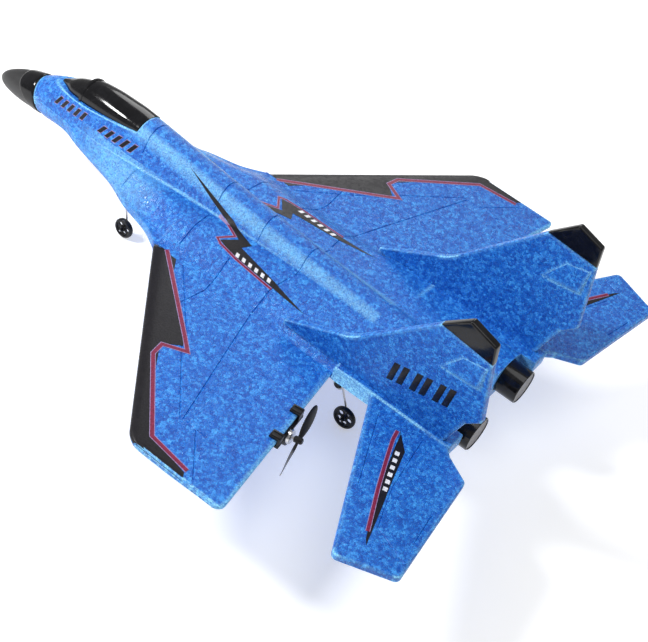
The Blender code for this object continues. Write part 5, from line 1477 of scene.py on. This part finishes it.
board = mesh_of(soft_block((-7.5, -70.6, 3.0), (7.5, -46.6, 4.2), 0.15), "board")
board = carve(board, [soft_block((-3, -61.6, 1.7), (3, -55.6, 3.2), 0.2)], "UNION")
spots = bmesh.new()
for i in range(7):
    for j in range(10):
        x, y = -6.0 + 2.0 * i, -69.0 + 2.2 * j
        if not (abs(x) < 4.6 and -63.4 < y < -53.8) and (3 * i + 5 * j) % 4:
            spots.verts.new((x, y, 2.8))
parts = grown(parts_tree, mesh_of(spots, "spots"), Length=1.25, Width=0.75, Tall=0.6, Seed=4,
              Finish=black_plastic)
piece("receiver_sheet", board, board_mat, stands_for=("receiver_board",))
piece("receiver_parts", parts, black_plastic)

switch_y = -36.0
front = switch_y - 2.0
case = mesh_of(soft_block((-2.3, switch_y - 4.5, keel_z), (2.3, switch_y + 4.5, keel_z + 4.0), 0.25), "case")
case = carve(case, [block((-1.1, front - 0.3, keel_z - 1), (1.1, front + 4.3, keel_z + 1.8))])
piece("slide_switch", case, black_plastic, stands_for=("switch_body",))
knob = mesh_of(soft_block((-0.8, -1.0, -1.3), (0.8, 1.0, 1.5), 0.15), "knob")
knob = carve(knob, [block((-1, -0.75 + 0.6 * k, -1.5), (1, -0.5 + 0.6 * k, -1.1)) for k in range(3)])
piece("switch_knob", knob, grey_plastic, body="switch", stands_for=("switch_slider",),
      place=stance @ Matrix.Translation((0, front + 1.0, keel_z)))

# ---------------------------------------------------------------- studio
# A plain pale floor and a pale surround, lit by large soft lamps from above and from the tail's left.
# The camera looks down on the model from behind its left wing.
scene = bpy.context.scene
world = bpy.data.worlds.new("pale_surround")
world.use_nodes = True
world.node_tree.nodes["Background"].inputs["Color"].default_value = (1.0, 1.0, 1.0, 1)
world.node_tree.nodes["Background"].inputs["Strength"].default_value = 0.38
scene.world = world
scene.view_settings.view_transform = "Standard"
scene.view_settings.look = "None"

floor_bm = bmesh.new()
bmesh.ops.create_grid(floor_bm, x_segments=4, y_segments=4, size=3.0)
floor_mesh = mesh_of(floor_bm, "floor")
floor_mat, tree, shader = material("pale_floor", Base_Color=(0.8, 0.8, 0.8), Roughness=0.9,
                                   Specular_IOR_Level=0.1, Emission_Color=(1.0, 1.0, 1.0),
                                   Emission_Strength=0.42)
floor_mesh.materials.append(floor_mat)
floor = bpy.data.objects.new("floor", floor_mesh)
floor.location.z = -0.0005
scene.collection.objects.link(floor)


def lamp(name, place_at, aim, size, power):
    data = bpy.data.lights.new(name, "AREA")
    data.shape = "DISK"
    data.size = size
    data.energy = power
    obj = bpy.data.objects.new(name, data)
    obj.location = place_at
    obj.rotation_euler = (Vector(aim) - Vector(place_at)).to_track_quat("-Z", "Y").to_euler()
    scene.collection.objects.link(obj)


lamp("key_lamp", (0.46, -0.52, 0.72), (0, -0.02, 0.03), 0.2, 8.0)
lamp("back_lamp", (-1.0, -0.5, 0.75), (-0.05, 0, 0.03), 0.6, 3.8)
lamp("top_lamp", (0.1, 0.35, 1.5), (0, 0, 0.03), 1.0, 6.0)

view_at = Vector((480.55, 239.72, 463.65))
view_right, view_up = Vector((-0.58388, 0.77530, 0.24081)), Vector((-0.45465, -0.55802, 0.69419))
view_back = view_right.cross(view_up)
eye = bpy.data.cameras.new("view")
eye.sensor_width = 36.0
eye.lens = 79.34
eye.shift_x = 0.0017
eye.shift_y = -0.0006
eye.clip_start = 0.02
camera = bpy.data.objects.new("view", eye)
square = stance.to_3x3().normalized()
axes = Matrix((square @ view_right, square @ view_up, square @ view_back)).transposed().to_4x4()
camera.matrix_world = Matrix.Translation(stance @ view_at) @ axes
scene.collection.objects.link(camera)
scene.camera = camera
